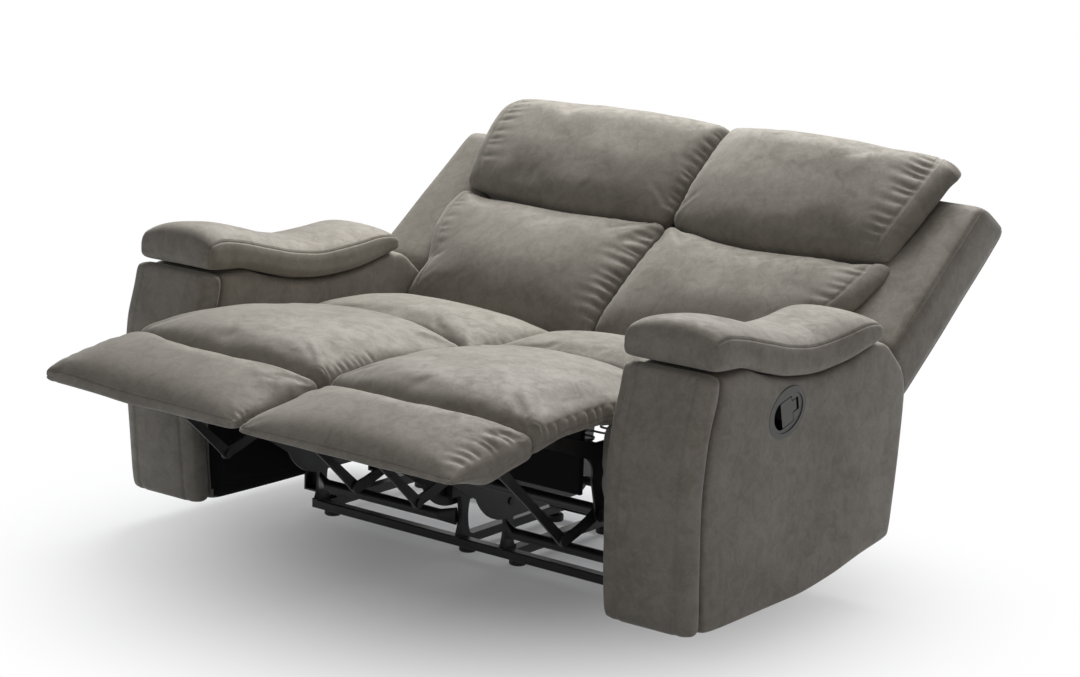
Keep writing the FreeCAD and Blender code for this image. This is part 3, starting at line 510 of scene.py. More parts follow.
def plywood_finish():
    material, tree, shader = principled("plywood", (0.46, 0.31, 0.17), 0.7)
    rings = noise_node(tree, 9.0, 6.0, 0.6, stretch=(1.0, 14.0, 14.0), distortion=0.4)
    colour = mix_colour(tree, band(tree, rings, 0.35, 0.7), pale_wood, dark_wood)
    tree.links.new(colour, shader.inputs["Base Color"])
    add_bump(tree, shader, rings, 0.2, 0.0005)
    return material


black_steel = hard_finish("black_steel", (0.013, 0.013, 0.014, 1), (0.045, 0.045, 0.047, 1),
                          0.30, 0.52, 0.0, 0.25)
bright_steel = hard_finish("bright_steel", (0.62, 0.62, 0.60, 1), (0.40, 0.40, 0.38, 1),
                           0.22, 0.42, 1.0, 0.1)
glide_plastic = hard_finish("glide_plastic", (0.020, 0.020, 0.021, 1), (0.06, 0.06, 0.06, 1),
                            0.45, 0.65, 0.0, 0.3)
grey_plastic = hard_finish("grey_plastic", (0.060, 0.058, 0.055, 1), (0.085, 0.082, 0.078, 1),
                           0.36, 0.50, 0.0, 0.15)
plywood = plywood_finish()
print("finishes", len(bpy.data.materials))

# %% [markdown]
# ## Sewn blocks
# A cushion cover is cut flat panels, sewn along the edges of a block and filled. The mesh is made
# the same way: a grid over the six faces of a straight block. Every point remembers its place on
# that block, so a seam, a row of stitches or a gather is a straight rule on the block, however the
# stuffed shape bends afterwards. Edges are then rounded and the block is laid into its real form.

# %% Block grid
closest_lines = 0.0015
clear_of_seam = 0.45


def grid_lines(low, high, step, extra=()):
    """Even grid lines between two ends, with closer lines where a seam needs them."""
    count = max(2, int(round((high - low) / step)))
    seams = [v for v in extra if low + closest_lines < v < high - closest_lines]
    lines = [v for v in np.linspace(low, high, count + 1)
             if v in (low, high) or all(abs(v - seam) > clear_of_seam * step for seam in seams)]
    return np.array(sorted(lines + seams))


def edge_lines(low, high, gap=0.0028):
    """Two close lines inside each end of a block, for a seam along its edges."""
    return low + gap, low + 2 * gap, high - 2 * gap, high - gap


def beside(*places, gap=0.0030):
    """Three close lines about each seam, so that the mesh can bend sharply there."""
    return tuple(place + shift for place in places for shift in (-gap, 0.0, gap))


def block_grid(xs, ys, zs):
    """Points and outward quads over the faces of a block, with shared edges."""
    nx, ny, nz = len(xs), len(ys), len(zs)
    ids = -np.ones((nx, ny, nz), int)
    skin = np.zeros((nx, ny, nz), bool)
    skin[[0, -1], :, :] = True
    skin[:, [0, -1], :] = True
    skin[:, :, [0, -1]] = True
    ids[skin] = np.arange(skin.sum())
    i, j, k = np.nonzero(skin)
    points = np.stack([xs[i], ys[j], zs[k]], axis=1)
    faces = []

    def side(sheet, flip):
        a, b = sheet[:-1, :-1], sheet[1:, :-1]
        c, d = sheet[1:, 1:], sheet[:-1, 1:]
        quads = np.stack([a, b, c, d] if not flip else [a, d, c, b], axis=-1)
        faces.append(quads.reshape(-1, 4))

    side(ids[0, :, :], True)
    side(ids[-1, :, :], False)
    side(ids[:, 0, :], False)
    side(ids[:, -1, :], True)
    side(ids[:, :, 0], True)
    side(ids[:, :, -1], False)
    return points, np.concatenate(faces)


print("lines over 0.1 m with one seam:", len(grid_lines(0.0, 0.1, 0.01, beside(0.04))))

# %% Round edges and smooth curves
tiny = 1e-9


def round_edges(points, low, high, radius):
    """Rounds the block's edges: each point goes to the given radii from an inner block."""
    low, high, radius = np.array(low), np.array(high), np.array(radius)
    inner = np.clip(points, low + radius, high - radius)
    out = (points - inner) / radius
    longest = np.abs(out).max(axis=1)
    length = np.linalg.norm(out, axis=1)
    scale = np.where(length > tiny, longest / np.maximum(length, tiny), 1.0)
    return inner + radius * out * scale[:, None]


def smooth_line(x, places, values):
    """Smooth curve through a few values, without overshoot between them."""
    places, values = np.array(places, float), np.array(values, float)
    step = np.diff(places)
    slope = np.diff(values) / step
    tangent = np.zeros(len(places))
    tangent[0], tangent[-1] = slope[0], slope[-1]
    for n in range(1, len(places) - 1):
        if slope[n - 1] * slope[n] > 0:
            w1 = 2 * step[n] + step[n - 1]
            w2 = step[n] + 2 * step[n - 1]
            tangent[n] = (w1 + w2) / (w1 / slope[n - 1] + w2 / slope[n])
    x = np.clip(x, places[0], places[-1])
    n = np.clip(np.searchsorted(places, x) - 1, 0, len(places) - 2)
    t = (x - places[n]) / step[n]
    t2, t3 = t * t, t * t * t
    return ((2 * t3 - 3 * t2 + 1) * values[n] + (t3 - 2 * t2 + t) * step[n] * tangent[n]
            + (3 * t2 - 2 * t3) * values[n + 1] + (t3 - t2) * step[n] * tangent[n + 1])


def smooth_step(x, low, high):
    t = np.clip((x - low) / (high - low), 0.0, 1.0)
    return t * t * (3 - 2 * t)


# %% A stuffed cover


class Pad:
    """A stuffed cover: its block's points and faces, and how far the stuffing moved them."""

    def __init__(self, name, xs, ys, zs, radius):
        self.name = name
        self.block, self.faces = block_grid(xs, ys, zs)
        self.low = np.array([xs[0], ys[0], zs[0]])
        self.high = np.array([xs[-1], ys[-1], zs[-1]])
        self.round = round_edges(self.block, self.low, self.high, radius)
        self.puff = np.zeros_like(self.block)



# %% [markdown]
# ## Forms of the cushions
# Each cushion has a few stations along its length: where it is, how low its underside lies, how
# high its edges are and how high its middle is crowned. A smooth curve runs through them, and the
# section between is a low bow. The ends of a cushion are not straight lines either: where two
# cushions meet, the seam bows, so each end has its own bow in plan. A cover that will be stuffed
# is laid a little lower, by the sink, because the filling then raises it.

# %% Cushion forms
crown_power = 2.6
block_height = 0.080
edge_radius = (0.026, 0.026, 0.030)
footrest_radius = (0.024, 0.012, 0.024)
sink = 0.008


def lay_cushion(pad, stations, front_bow, rear_bow, pull, gap):
    """Places the rounded block between its underside and its crowned top."""
    x, l, h = pad.round.T
    middle = 0.5 * (pad.low[0] + pad.high[0])
    half = 0.5 * (pad.high[0] - pad.low[0])
    u = (x - middle) / half
    v = (l - pad.low[1]) / (pad.high[1] - pad.low[1])
    place, low, edge, crown = (np.array(c) for c in zip(*stations))
    under = smooth_line(l, place, low)
    sides = smooth_line(l, place, edge)
    top = sides + (smooth_line(l, place, crown) - sides) * (1.0 - np.abs(u) ** crown_power) - sink
    z = under + (top - under) * h / block_height
    shift = front_bow(u) * (1.0 - v) ** 2 + rear_bow(u) * v ** 2
    drawn = pull * np.sin(math.pi * v) * u * np.abs(u)
    x = middle + u * (half - gap) - drawn
    return np.stack([x, l + shift, z], axis=1)


def arch(depth, inner, outer):
    """A bow across the seat: a depth at the middle, and a shift at the inner and outer ends."""
    def bow(u):
        return depth * np.cos(0.5 * math.pi * u) + np.where(u < 0, inner, outer) * np.abs(u) ** 3
    return bow


cushion_step = 0.0080
inner_x = 0.0012
outer_x = float(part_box("thigh_cushion_right")[1][0])
crease_y = -0.600
crease_bow = -0.046
thigh_seam_y = -0.135
thigh_seam_bow = 0.040
print("seat from x", round(inner_x, 3), "to", round(outer_x, 3))

# %% [markdown]
# ## Stuffing by simulation
# Real covers are cut, sewn and blown full of filling. The cloth solver does the same: each cover's
# underside is held, a small pressure pushes the rest out for twenty frames, and no point may move
# further than a cap. The covers start lower by nearly that cap, so that they end at their real
# height, and a neighbour stops most of the bulge to the side. Only the right-hand covers are
# simulated. The left-hand ones are mirrored and get creases of their own. The cloth objects are
# taken away afterwards, and only the moved points are kept.

# %% Stuffing
stuffing_frames = 20
stuffing_pressure = 4.0
stuffing_cap = 0.009
sideways_share = np.array((0.35, 0.6, 1.0))
held_below = 0.12
free_above = 0.45
cloth_settings = {"quality": 5, "mass": 0.3, "tension_stiffness": 22.0, "compression_stiffness": 22.0,
                  "shear_stiffness": 6.0, "bending_stiffness": 0.6, "use_pressure": True,
                  "uniform_pressure_force": stuffing_pressure}


def held_points(pad):
    """How firmly each point is held: the underside fully, the top hardly at all."""
    share = (pad.block[:, 2] - pad.low[2]) / (pad.high[2] - pad.low[2])
    return 1.0 - smooth_step(share, held_below, free_above)


def cloth_on(pad):
    obj = mesh_object(pad.name + "_cloth", pad.laid, pad.faces)
    group = obj.vertex_groups.new(name="held")
    for index, weight in enumerate(held_points(pad)):
        if weight > 0.0:
            group.add([index], float(weight), "REPLACE")
    cloth = obj.modifiers.new("stuffing", "CLOTH")
    for setting, value in cloth_settings.items():
        setattr(cloth.settings, setting, value)
    cloth.settings.effector_weights.gravity = 0.0
    cloth.settings.vertex_group_mass = "held"
    cloth.point_cache.frame_start = 1
    cloth.point_cache.frame_end = stuffing_frames
    return obj


def points_of(mesh):
    points = np.empty(len(mesh.vertices) * 3)
    mesh.vertices.foreach_get("co", points)
    return points.reshape(-1, 3)


def stuff(pads):
    scene = bpy.context.scene
    cloths = [cloth_on(pad) for pad in pads]
    for number in range(1, stuffing_frames + 1):
        scene.frame_set(number)
        bpy.context.view_layer.update()
    graph = bpy.context.evaluated_depsgraph_get()
    for pad, obj in zip(pads, cloths):
        shaped = obj.evaluated_get(graph).to_mesh()
        move = points_of(shaped) - pad.laid
        length = np.linalg.norm(move, axis=1)
        capped = stuffing_cap * np.tanh(length / stuffing_cap)
        pad.puff = move * (capped / np.maximum(length, tiny))[:, None] * sideways_share
        print(pad.name, len(pad.laid), "points, moved up to", round(1000 * capped.max(), 1), "mm")
        bpy.data.objects.remove(obj)
    scene.frame_set(1)


# %% [markdown]
# ## Seams, gathers and stitches
# A seam pulls the cover in along a line, and a gather is a fan of small pleats that run into it,
# where a longer edge was eased onto a shorter one. Both are moves along the surface normal, written
# on the block: q is the distance inboard from a long edge, and below zero it runs down the side.
# The mesh is subdivided once first, so that the pleats have points to bend.

# %% Fine mesh


def subdivided(points, faces, kind):
    obj = mesh_object("coarse", points, faces)
    level = obj.modifiers.new("level", "SUBSURF")
    level.subdivision_type = kind
    level.levels = level.render_levels = 1
    graph = bpy.context.evaluated_depsgraph_get()
    mesh = bpy.data.meshes.new_from_object(obj.evaluated_get(graph))
    bpy.data.objects.remove(obj)
    fine = points_of(mesh)
    quads = np.array([list(f.vertices) for f in mesh.polygons])
    bpy.data.meshes.remove(mesh)
    return fine, quads


def normals_of(points, faces):
    a, b, c, d = (points[faces[:, n]] for n in range(4))
    face = np.cross(c - a, d - b)
    total = np.zeros_like(points)
    for n in range(4):
        np.add.at(total, faces[:, n], face)
    return total / np.maximum(np.linalg.norm(total, axis=1), 1e-12)[:, None]


def waves(points, seed, size, count=7):
    """Slow uneven swells, as filling settles: a sum of a few random waves of about one size."""
    random = np.random.default_rng(seed)
    total = np.zeros(len(points))
    for _ in range(count):
        way = random.normal(size=3)
        way /= np.linalg.norm(way)
        length = size * random.uniform(0.6, 1.6)
        phase = random.uniform(0, 6.3)
        total += np.sin(points @ way * 2 * math.pi / length + phase)
    return total / math.sqrt(count)


def refine(pad, points):
    """Keeps the fine block points, faces and shape of a pad whose coarse points are given."""
    pad.shape, pad.quads = subdivided(points, pad.faces, "CATMULL_CLARK")
    pad.fine, _ = subdivided(pad.block, pad.faces, "SIMPLE")
    pad.move = np.zeros(len(pad.fine))


# %% Seams and gathers


def edge_distance(pad, side):
    """Distance inboard of a long or end edge of the top, negative down the face below it."""
    x, l, h = pad.fine.T
    drop = pad.high[2] - h
    measures = {"outer": pad.high[0] - x, "inner": x - pad.low[0],
                "front": l - pad.low[1], "rear": pad.high[1] - l}
    return measures[side] - drop


def seam(pad, distance, depth, width):
    """Draws the cover in along a line, given each point's distance from it."""
    pad.move -= depth * np.exp(-(distance / width) ** 2)


def edge_seam(pad, axis_a, end_a, axis_b, end_b, depth, width):
    """A seam along one long edge of the block."""
    a = pad.low[axis_a] if end_a == "low" else pad.high[axis_a]
    b = pad.low[axis_b] if end_b == "low" else pad.high[axis_b]
    seam(pad, np.hypot(pad.fine[:, axis_a] - a, pad.fine[:, axis_b] - b), depth, width)


def gather(pad, side, start, end, pitch, depth, inboard, outboard, centre, slant, seed):
    """Pleats that cross an edge between two places along it, each with its own size."""
    along = pad.fine[:, 0] if side in ("front", "rear") else pad.fine[:, 1]
    q = edge_distance(pad, side) - centre
    narrow = 0.24 * pitch
    random = np.random.default_rng(seed)
    knots = np.linspace(start - pitch, end + pitch, int(abs(end - start) / pitch) + 3)
    knots = knots + random.uniform(-0.28, 0.28, len(knots)) * pitch
    sizes = random.uniform(0.45, 1.0, len(knots))
    reach = random.uniform(0.65, 1.15, len(knots))
    place = along + slant * np.maximum(q, 0.0)
    width = narrow * (1.0 + 0.9 * np.clip(q / inboard, 0.0, 2.0))
    pleat_depths = np.zeros(len(along))
    for knot, size, far in zip(knots, sizes, reach):
        fade = np.where(q > 0, np.exp(-(q / (inboard * far)) ** 2), np.exp(-(q / outboard) ** 2))
        pleat = size * fade * np.exp(-((place - knot) / width) ** 2)
        pleat_depths = np.maximum(pleat_depths, pleat)
    from_start = smooth_step(along, start - 0.5 * pitch, start + pitch)
    to_end = 1 - smooth_step(along, end - pitch, end + 0.5 * pitch)
    pad.move -= depth * pleat_depths * (from_start * to_end)


def finish_shape(pad):
    pad.shape = pad.shape + normals_of(pad.shape, pad.quads) * pad.move[:, None]


# %% Paths on a finished cover
thread_lift = 0.0004


def trace(pad, tree, out, path):
    """Places a path drawn on the block onto the finished cover, a hair above the cloth."""
    points = []
    for place in path:
        hit, _, index, _ = tree.find_nearest(Vector(place))
        corners = pad.quads[index]
        gap = np.linalg.norm(pad.fine[corners] - np.array(hit), axis=1)
        weight = 1.0 / np.maximum(gap, 1e-7)
        if gap.min() > 1e-6:
            e1 = pad.fine[corners[1]] - pad.fine[corners[0]]
            e2 = pad.fine[corners[3]] - pad.fine[corners[0]]
            away = np.array(hit) - pad.fine[corners[0]]
            a = np.clip(away @ e1 / max(e1 @ e1, 1e-12), 0, 1)
            b = np.clip(away @ e2 / max(e2 @ e2, 1e-12), 0, 1)
            weight = np.array([(1 - a) * (1 - b), a * (1 - b), a * b, (1 - a) * b])
        weight = weight / weight.sum()
        points.append(weight @ (pad.shape[corners] + thread_lift * out[corners]))
    return np.array(points)


def mirror_x(points):
    return points * np.array([-1.0, 1.0, 1.0])


def traced_rows(pad, rows, side):
    """Stitch paths on a finished cover, mirrored for the left-hand one."""
    if not rows:
        return []
    tree = BVHTree.FromPolygons([tuple(p) for p in pad.fine], [tuple(q) for q in pad.quads.tolist()])
    out = normals_of(pad.shape, pad.quads)
    paths = [trace(pad, tree, out, row) for row in rows]
    return paths if side == "right" else [mirror_x(path) for path in paths]


# %% [markdown]
# A stitch is a short rounded thread. A Geometry Nodes tree lays them: it turns each traced path
# into a curve, spaces points along it by the stitch pitch, and sets one thread at each, turned to
# follow the path. Spacing by length keeps the stitches even round corners. A thread is a small
# cylinder that narrows towards both ends.

# %% Stitch tree
stitch_pitch = 0.0052
stitch_length = 0.0036
stitch_radius = 0.00042
stitch_sizes = {"Pitch": stitch_pitch, "Length": stitch_length, "Radius": stitch_radius}
thread_sides = 5
thread_segments = 2


def stitch_tree():
    tree = bpy.data.node_groups.new("stitch_row", "GeometryNodeTree")
    tree.interface.new_socket("Geometry", in_out="INPUT", socket_type="NodeSocketGeometry")
    sizes = {}
    for label, value in stitch_sizes.items():
        socket = tree.interface.new_socket(label, in_out="INPUT", socket_type="NodeSocketFloat")
        socket.default_value = value
        sizes[label] = socket.identifier
    tree.interface.new_socket("Geometry", in_out="OUTPUT", socket_type="NodeSocketGeometry")
    start, end = tree.nodes.new("NodeGroupInput"), tree.nodes.new("NodeGroupOutput")
    curve = tree.nodes.new("GeometryNodeMeshToCurve")
    spaced = tree.nodes.new("GeometryNodeResampleCurve")
    spaced.mode = "LENGTH"
    points = tree.nodes.new("GeometryNodeCurveToPoints")
    points.mode = "EVALUATED"
    thread_shape = tree.nodes.new("GeometryNodeMeshCylinder")
    thread_shape.inputs["Vertices"].default_value = thread_sides
    thread_shape.inputs["Side Segments"].default_value = thread_segments
    narrow = tree.nodes.new("GeometryNodeSetPosition")
    place = tree.nodes.new("GeometryNodeInputPosition")
    parts = tree.nodes.new("ShaderNodeSeparateXYZ")
    height = math_node(tree, "ABSOLUTE", parts.outputs["Z"])
    share = math_node(tree, "DIVIDE", height, start.outputs["Length"])
    slim = math_node(tree, "SUBTRACT", 1.0, share)
    flat = tree.nodes.new("ShaderNodeCombineXYZ")
    tree.links.new(math_node(tree, "MULTIPLY", parts.outputs["X"], slim), flat.inputs["X"])
    tree.links.new(math_node(tree, "MULTIPLY", parts.outputs["Y"], slim), flat.inputs["Y"])
    tree.links.new(parts.outputs["Z"], flat.inputs["Z"])
    along = tree.nodes.new("FunctionNodeAlignEulerToVector")
    along.axis = "Z"
    scatter = tree.nodes.new("GeometryNodeInstanceOnPoints")
    real = tree.nodes.new("GeometryNodeRealizeInstances")
    paint = tree.nodes.new("GeometryNodeSetMaterial")
    paint.inputs["Material"].default_value = thread
    join = tree.links.new
    join(start.outputs["Geometry"], curve.inputs["Mesh"])
    join(curve.outputs["Curve"], spaced.inputs["Curve"])
    join(start.outputs["Pitch"], spaced.inputs["Length"])
    join(spaced.outputs["Curve"], points.inputs["Curve"])
    join(start.outputs["Radius"], thread_shape.inputs["Radius"])
    join(start.outputs["Length"], thread_shape.inputs["Depth"])
    join(thread_shape.outputs["Mesh"], narrow.inputs["Geometry"])
    join(place.outputs["Position"], parts.inputs[0])
    join(flat.outputs[0], narrow.inputs["Position"])
    join(points.outputs["Tangent"], along.inputs["Vector"])
    join(points.outputs["Points"], scatter.inputs["Points"])
    join(narrow.outputs["Geometry"], scatter.inputs["Instance"])
    join(along.outputs["Rotation"], scatter.inputs["Rotation"])
    join(scatter.outputs["Instances"], real.inputs["Geometry"])
    join(real.outputs["Geometry"], paint.inputs["Geometry"])
    join(paint.outputs["Geometry"], end.inputs["Geometry"])
    return tree, sizes


stitch_rows_tree, stitch_inputs = stitch_tree()
print("stitch tree", len(stitch_rows_tree.nodes), "nodes")

# %% Stitches along paths


def stitched(name, paths):
    """One mesh of stitches along several traced paths."""
    points = np.concatenate(paths)
    mesh = bpy.data.meshes.new(name)
    edges, start = [], 0
    for path in paths:
        edges += [(start + n, start + n + 1) for n in range(len(path) - 1)]
        start += len(path)
    mesh.from_pydata([tuple(p) for p in points], edges, [])
    rows = link(bpy.data.objects.new(name + "_rows", mesh))
    made = rows.modifiers.new("stitches", "NODES")
    made.node_group = stitch_rows_tree
    for label, value in stitch_sizes.items():
        made[stitch_inputs[label]] = value
    graph = bpy.context.evaluated_depsgraph_get()
    result = bpy.data.meshes.new_from_object(rows.evaluated_get(graph))
    bpy.data.objects.remove(rows)
    result.name = name
    obj = link(bpy.data.objects.new(name, result))
    print(name, len(paths), "rows,", len(result.polygons), "faces")
    return shade_smooth(obj)


def run(start, end, step=0.004):
    """Points of a straight path on the block."""
    start, end = np.array(start, float), np.array(end, float)
    count = max(2, int(np.linalg.norm(end - start) / step))
    return [start + (end - start) * t for t in np.linspace(0, 1, count + 1)]


# %% [markdown]
# ## Seat, footrest and back cushions
# These are the covers that the photograph shows best. The footrest is a wedge that comes down to
# a thin front edge with a topstitch, and its rear edge bows forward. The thigh part crowns behind
# it, then the rear of the seat, and the two back cushions meet in a curved waist.

# %% Back frame of reference
back_angle = math.radians(36.2)
back_foot = (0.257, 0.455)


def on_back(points):
    """Turns x, up-the-back s and out-of-the-back t into the sofa's own directions."""
    x, s, t = points.T
    y = back_foot[0] + s * math.cos(back_angle) - t * math.sin(back_angle)
    z = back_foot[1] + s * math.sin(back_angle) + t * math.cos(back_angle)
    return np.stack([x, y, z], axis=1)


print("the backs lean", round(90.0 - math.degrees(back_angle), 1), "degrees from upright")

# %% Cushion plans
cushion_ends = {
    "footrest": (-0.842, crease_y), "thigh": (crease_y, thigh_seam_y), "seat": (thigh_seam_y, 0.214),
    "lumbar": (0.003, 0.372), "headrest": (0.372, 0.698),
}
cushion_stations = {
    "footrest": ((-0.842, 0.427, 0.446, 0.450), (-0.818, 0.424, 0.457, 0.468), (-0.770, 0.415, 0.468, 0.489),
                 (-0.718, 0.403, 0.475, 0.503), (-0.660, 0.415, 0.482, 0.514), (-0.600, 0.428, 0.484, 0.516)),
    "thigh": ((-0.600, 0.428, 0.500, 0.522), (-0.560, 0.437, 0.503, 0.533), (-0.480, 0.447, 0.505, 0.541),
              (-0.380, 0.447, 0.505, 0.539), (-0.300, 0.438, 0.500, 0.530), (-0.200, 0.402, 0.490, 0.516),
              (-0.135, 0.400, 0.482, 0.504)),
    "seat": ((-0.135, 0.400, 0.480, 0.502), (-0.050, 0.400, 0.482, 0.510), (0.060, 0.400, 0.480, 0.509),
             (0.130, 0.400, 0.470, 0.496), (0.180, 0.400, 0.456, 0.474), (0.214, 0.400, 0.440, 0.452)),
    "lumbar": ((0.003, -0.062, -0.030, -0.010), (0.030, -0.062, -0.004, 0.020), (0.080, -0.062, 0.008, 0.038),
               (0.150, -0.062, 0.010, 0.046), (0.250, -0.062, 0.006, 0.042), (0.330, -0.062, -0.004, 0.032),
               (0.372, -0.062, -0.010, 0.026)),
    "headrest": ((0.372, -0.062, -0.006, 0.028), (0.430, -0.062, 0.008, 0.046), (0.515, -0.062, 0.020, 0.059),
                 (0.600, -0.062, 0.022, 0.060), (0.650, -0.070, 0.016, 0.052), (0.682, -0.076, 0.002, 0.030),
                 (0.698, -0.076, -0.016, 0.004)),
}
level = arch(0.0, 0.0, 0.0)
crease = arch(crease_bow, 0.004, 0.0)
thigh_seam = arch(thigh_seam_bow, 0.0, 0.0)
waist = {"right": arch(-0.056, 0.0, -0.018), "left": arch(-0.036, 0.004, 0.0)}
headrest_corner = 0.040
on_the_back = ("lumbar", "headrest")
back_overhang = 0.013
seam_inboard = 0.032
print("lengths", {kind: round(high - low, 3) for kind, (low, high) in cushion_ends.items()})

# %% Blocks of the cushions


def headrest_top(u):
    """The upper edge is straight and turns down in a round corner at the outer end."""
    return -headrest_corner * np.clip(u, 0.0, 1.0) ** 6


def cushion_pad(kind):
    low_l, high_l = cushion_ends[kind]
    far_x = outer_x + back_overhang if kind in on_the_back else outer_x
    xs = grid_lines(inner_x, far_x, cushion_step, beside(far_x - seam_inboard))
    if kind == "footrest":
        ls = grid_lines(low_l, high_l, cushion_step, edge_lines(low_l, high_l))
        hs = grid_lines(0.0, block_height, cushion_step, edge_lines(0.0, block_height))
        return Pad(kind, xs, ls, hs, footrest_radius)
    ls = grid_lines(low_l, high_l, cushion_step)
    hs = grid_lines(0.0, block_height, cushion_step)
    return Pad(kind, xs, ls, hs, edge_radius)


cushions = {kind: cushion_pad(kind) for kind in cushion_ends}
print("cushion points", {kind: len(pad.block) for kind, pad in cushions.items()})

# %% Lay the cushions


def lay(pad, side):
    """The pad's coarse points for the right-hand seat, with the waist seam of one side."""
    bows = {"footrest": (level, crease), "thigh": (crease, thigh_seam), "seat": (thigh_seam, level),
            "lumbar": (level, waist[side]), "headrest": (waist[side], headrest_top)}
    front, rear = bows[pad.name]
    pull = 0.002 if pad.name in on_the_back else 0.004
    laid = lay_cushion(pad, cushion_stations[pad.name], front, rear, pull, 0.001)
    if side == "left":
        laid[:, 2] += left_lift(pad, laid)
    if pad.name in on_the_back:
        laid = on_back(spread_over_wing(pad, laid))
    return laid


def left_lift(pad, laid):
    """The photograph's left-hand pads are fuller, most of all at their outer ends."""
    outer = smooth_step(laid[:, 0], 0.28, 0.50)
    share = 0.4 + 0.6 * pad.round[:, 2] / block_height
    if pad.name == "footrest":
        return share * (0.009 + 0.012 * outer)
    if pad.name == "thigh":
        return share * (0.004 + 0.008 * (1.0 - smooth_step(laid[:, 1], -0.50, -0.20)))
    if pad.name == "headrest":
        return share * 0.009 * outer
    return np.zeros(len(laid))


# A place up the back and how far the cushion reaches over the wing there.
wing_overlap = ((0.12, 0.0), (0.16, 0.020), (0.22, 0.050), (0.30, 0.066), (0.355, 0.061), (0.372, 0.052),
                (0.40, 0.058), (0.47, 0.076), (0.55, 0.088), (0.62, 0.092), (0.66, 0.080), (0.685, 0.052),
                (0.70, 0.022))


def spread_over_wing(pad, laid):
    """The back cushions bulge sideways over the front of the wing, above the arms."""
    share = smooth_step(pad.round[:, 2] / block_height, 0.44, 0.62)
    outward = smooth_step(pad.round[:, 0], outer_x - 0.12, outer_x + back_overhang)
    places, widths = zip(*wing_overlap)
    laid[:, 0] += share * outward * np.interp(laid[:, 1], places, widths)
    return laid


for pad in cushions.values():
    pad.laid = lay(pad, "right")
    print(pad.name, "laid from y", round(pad.laid[:, 1].min(), 3), "to", round(pad.laid[:, 1].max(), 3))

# %% Stuff the right-hand cushions
stuff(list(cushions.values()))

# %% [markdown]
# ## Pleats of each cushion
# The gathers follow the photograph: a fan of curved pleats on the footrest's outer side, short
# upright pleats under the thigh's outer edge, pleats from the middle groove on the left lumbar,
# and deep ones beside the outer seam of the right headrest. Each row below is one gather: its edge,
# where it starts and ends, how far apart and how deep its pleats are, how far they reach inboard
# and outboard, how far inboard of the edge their middle lies, and their slant.

# %% Pleats of the cushions
pleats = {
    ("footrest", "right"): (("outer", -0.825, -0.610, 0.025, 0.0048, 0.030, 0.018, 0.018, 0.30),
                            ("inner", -0.838, -0.800, 0.013, 0.0030, 0.016, 0.030, 0.0, 0.0),
                            ("rear", 0.400, 0.520, 0.022, 0.0016, 0.020, 0.020, 0.0, 0.0)),
    ("footrest", "left"): (("outer", -0.825, -0.610, 0.030, 0.0026, 0.030, 0.030, 0.010, 0.2),
                           ("inner", -0.840, -0.800, 0.012, 0.0036, 0.020, 0.030, 0.0, 0.0)),
    ("thigh", "right"): (("outer", -0.605, -0.200, 0.027, 0.0058, 0.010, 0.042, -0.012, 0.0),
                         ("outer", -0.606, -0.570, 0.013, 0.0060, 0.012, 0.016, 0.0, 0.5),
                         ("inner", -0.620, -0.500, 0.016, 0.0022, 0.014, 0.020, 0.0, 0.0)),
    ("thigh", "left"): (("inner", -0.620, -0.420, 0.017, 0.0034, 0.020, 0.020, 0.0, 0.0),
                        ("outer", -0.600, -0.180, 0.028, 0.0036, 0.012, 0.045, -0.008, 0.0)),
    ("seat", "right"): (("outer", -0.100, 0.180, 0.028, 0.0022, 0.016, 0.040, 0.0, 0.0),),
    ("seat", "left"): (("inner", -0.100, 0.180, 0.026, 0.0022, 0.018, 0.020, 0.0, 0.0),),
    ("lumbar", "right"): (("outer", 0.060, 0.350, 0.027, 0.0030, 0.022, 0.008, 0.040, 0.0),
                          ("inner", 0.030, 0.340, 0.030, 0.0018, 0.020, 0.020, 0.0, 0.0),
                          ("rear", 0.380, 0.530, 0.024, 0.0020, 0.018, 0.020, 0.0, 0.0)),
    ("lumbar", "left"): (("inner", 0.020, 0.345, 0.027, 0.0062, 0.052, 0.020, 0.0, 0.10),
                         ("outer", 0.100, 0.350, 0.030, 0.0022, 0.022, 0.010, 0.038, 0.0),
                         ("rear", 0.010, 0.150, 0.022, 0.0022, 0.020, 0.020, 0.0, 0.0)),
    ("headrest", "right"): (("outer", 0.395, 0.672, 0.025, 0.0060, 0.022, 0.008, 0.042, -0.20),
                            ("outer", 0.650, 0.692, 0.013, 0.0046, 0.026, 0.022, 0.018, -0.3),
                            ("inner", 0.400, 0.650, 0.030, 0.0022, 0.018, 0.020, 0.0, 0.0)),
    ("headrest", "left"): (("inner", 0.400, 0.660, 0.022, 0.0036, 0.022, 0.020, 0.0, 0.0),
                           ("outer", 0.420, 0.670, 0.026, 0.0032, 0.022, 0.009, 0.040, -0.1),
                           ("front", 0.010, 0.240, 0.026, 0.0026, 0.024, 0.020, 0.0, 0.0)),
}
print("gathers", sum(len(rows) for rows in pleats.values()))

# %% Seams of the cushions
swell_depth = 0.0009
swell_size = 0.15
seam_depth = 0.0024
back_seam_depth = 0.0015
seam_width = 0.0036
side_seam_drop = -0.050
hem_depth = 0.0024
hem_width = 0.0034
footrest_hem = 0.004
beside_seam = 0.0045
cushion_seed = 11


def sew(pad, side, seed):
    """Adds swells, seams and pleats to one refined cushion."""
    pad.move += swell_depth * waves(pad.shape, seed, swell_size)
    q = edge_distance(pad, "outer")
    if pad.name in on_the_back:
        on_front = smooth_step(pad.fine[:, 2], 0.5 * block_height, 0.9 * block_height)
        seam(pad, q - seam_inboard, back_seam_depth * on_front, seam_width)
    else:
        seam(pad, q - side_seam_drop, seam_depth, seam_width)
    if pad.name == "footrest":
        edge_seam(pad, 1, "low", 2, "high", hem_depth, hem_width)
    for number, gathered in enumerate(pleats[(pad.name, side)]):
        gather(pad, *gathered, seed * 10 + number)
    finish_shape(pad)


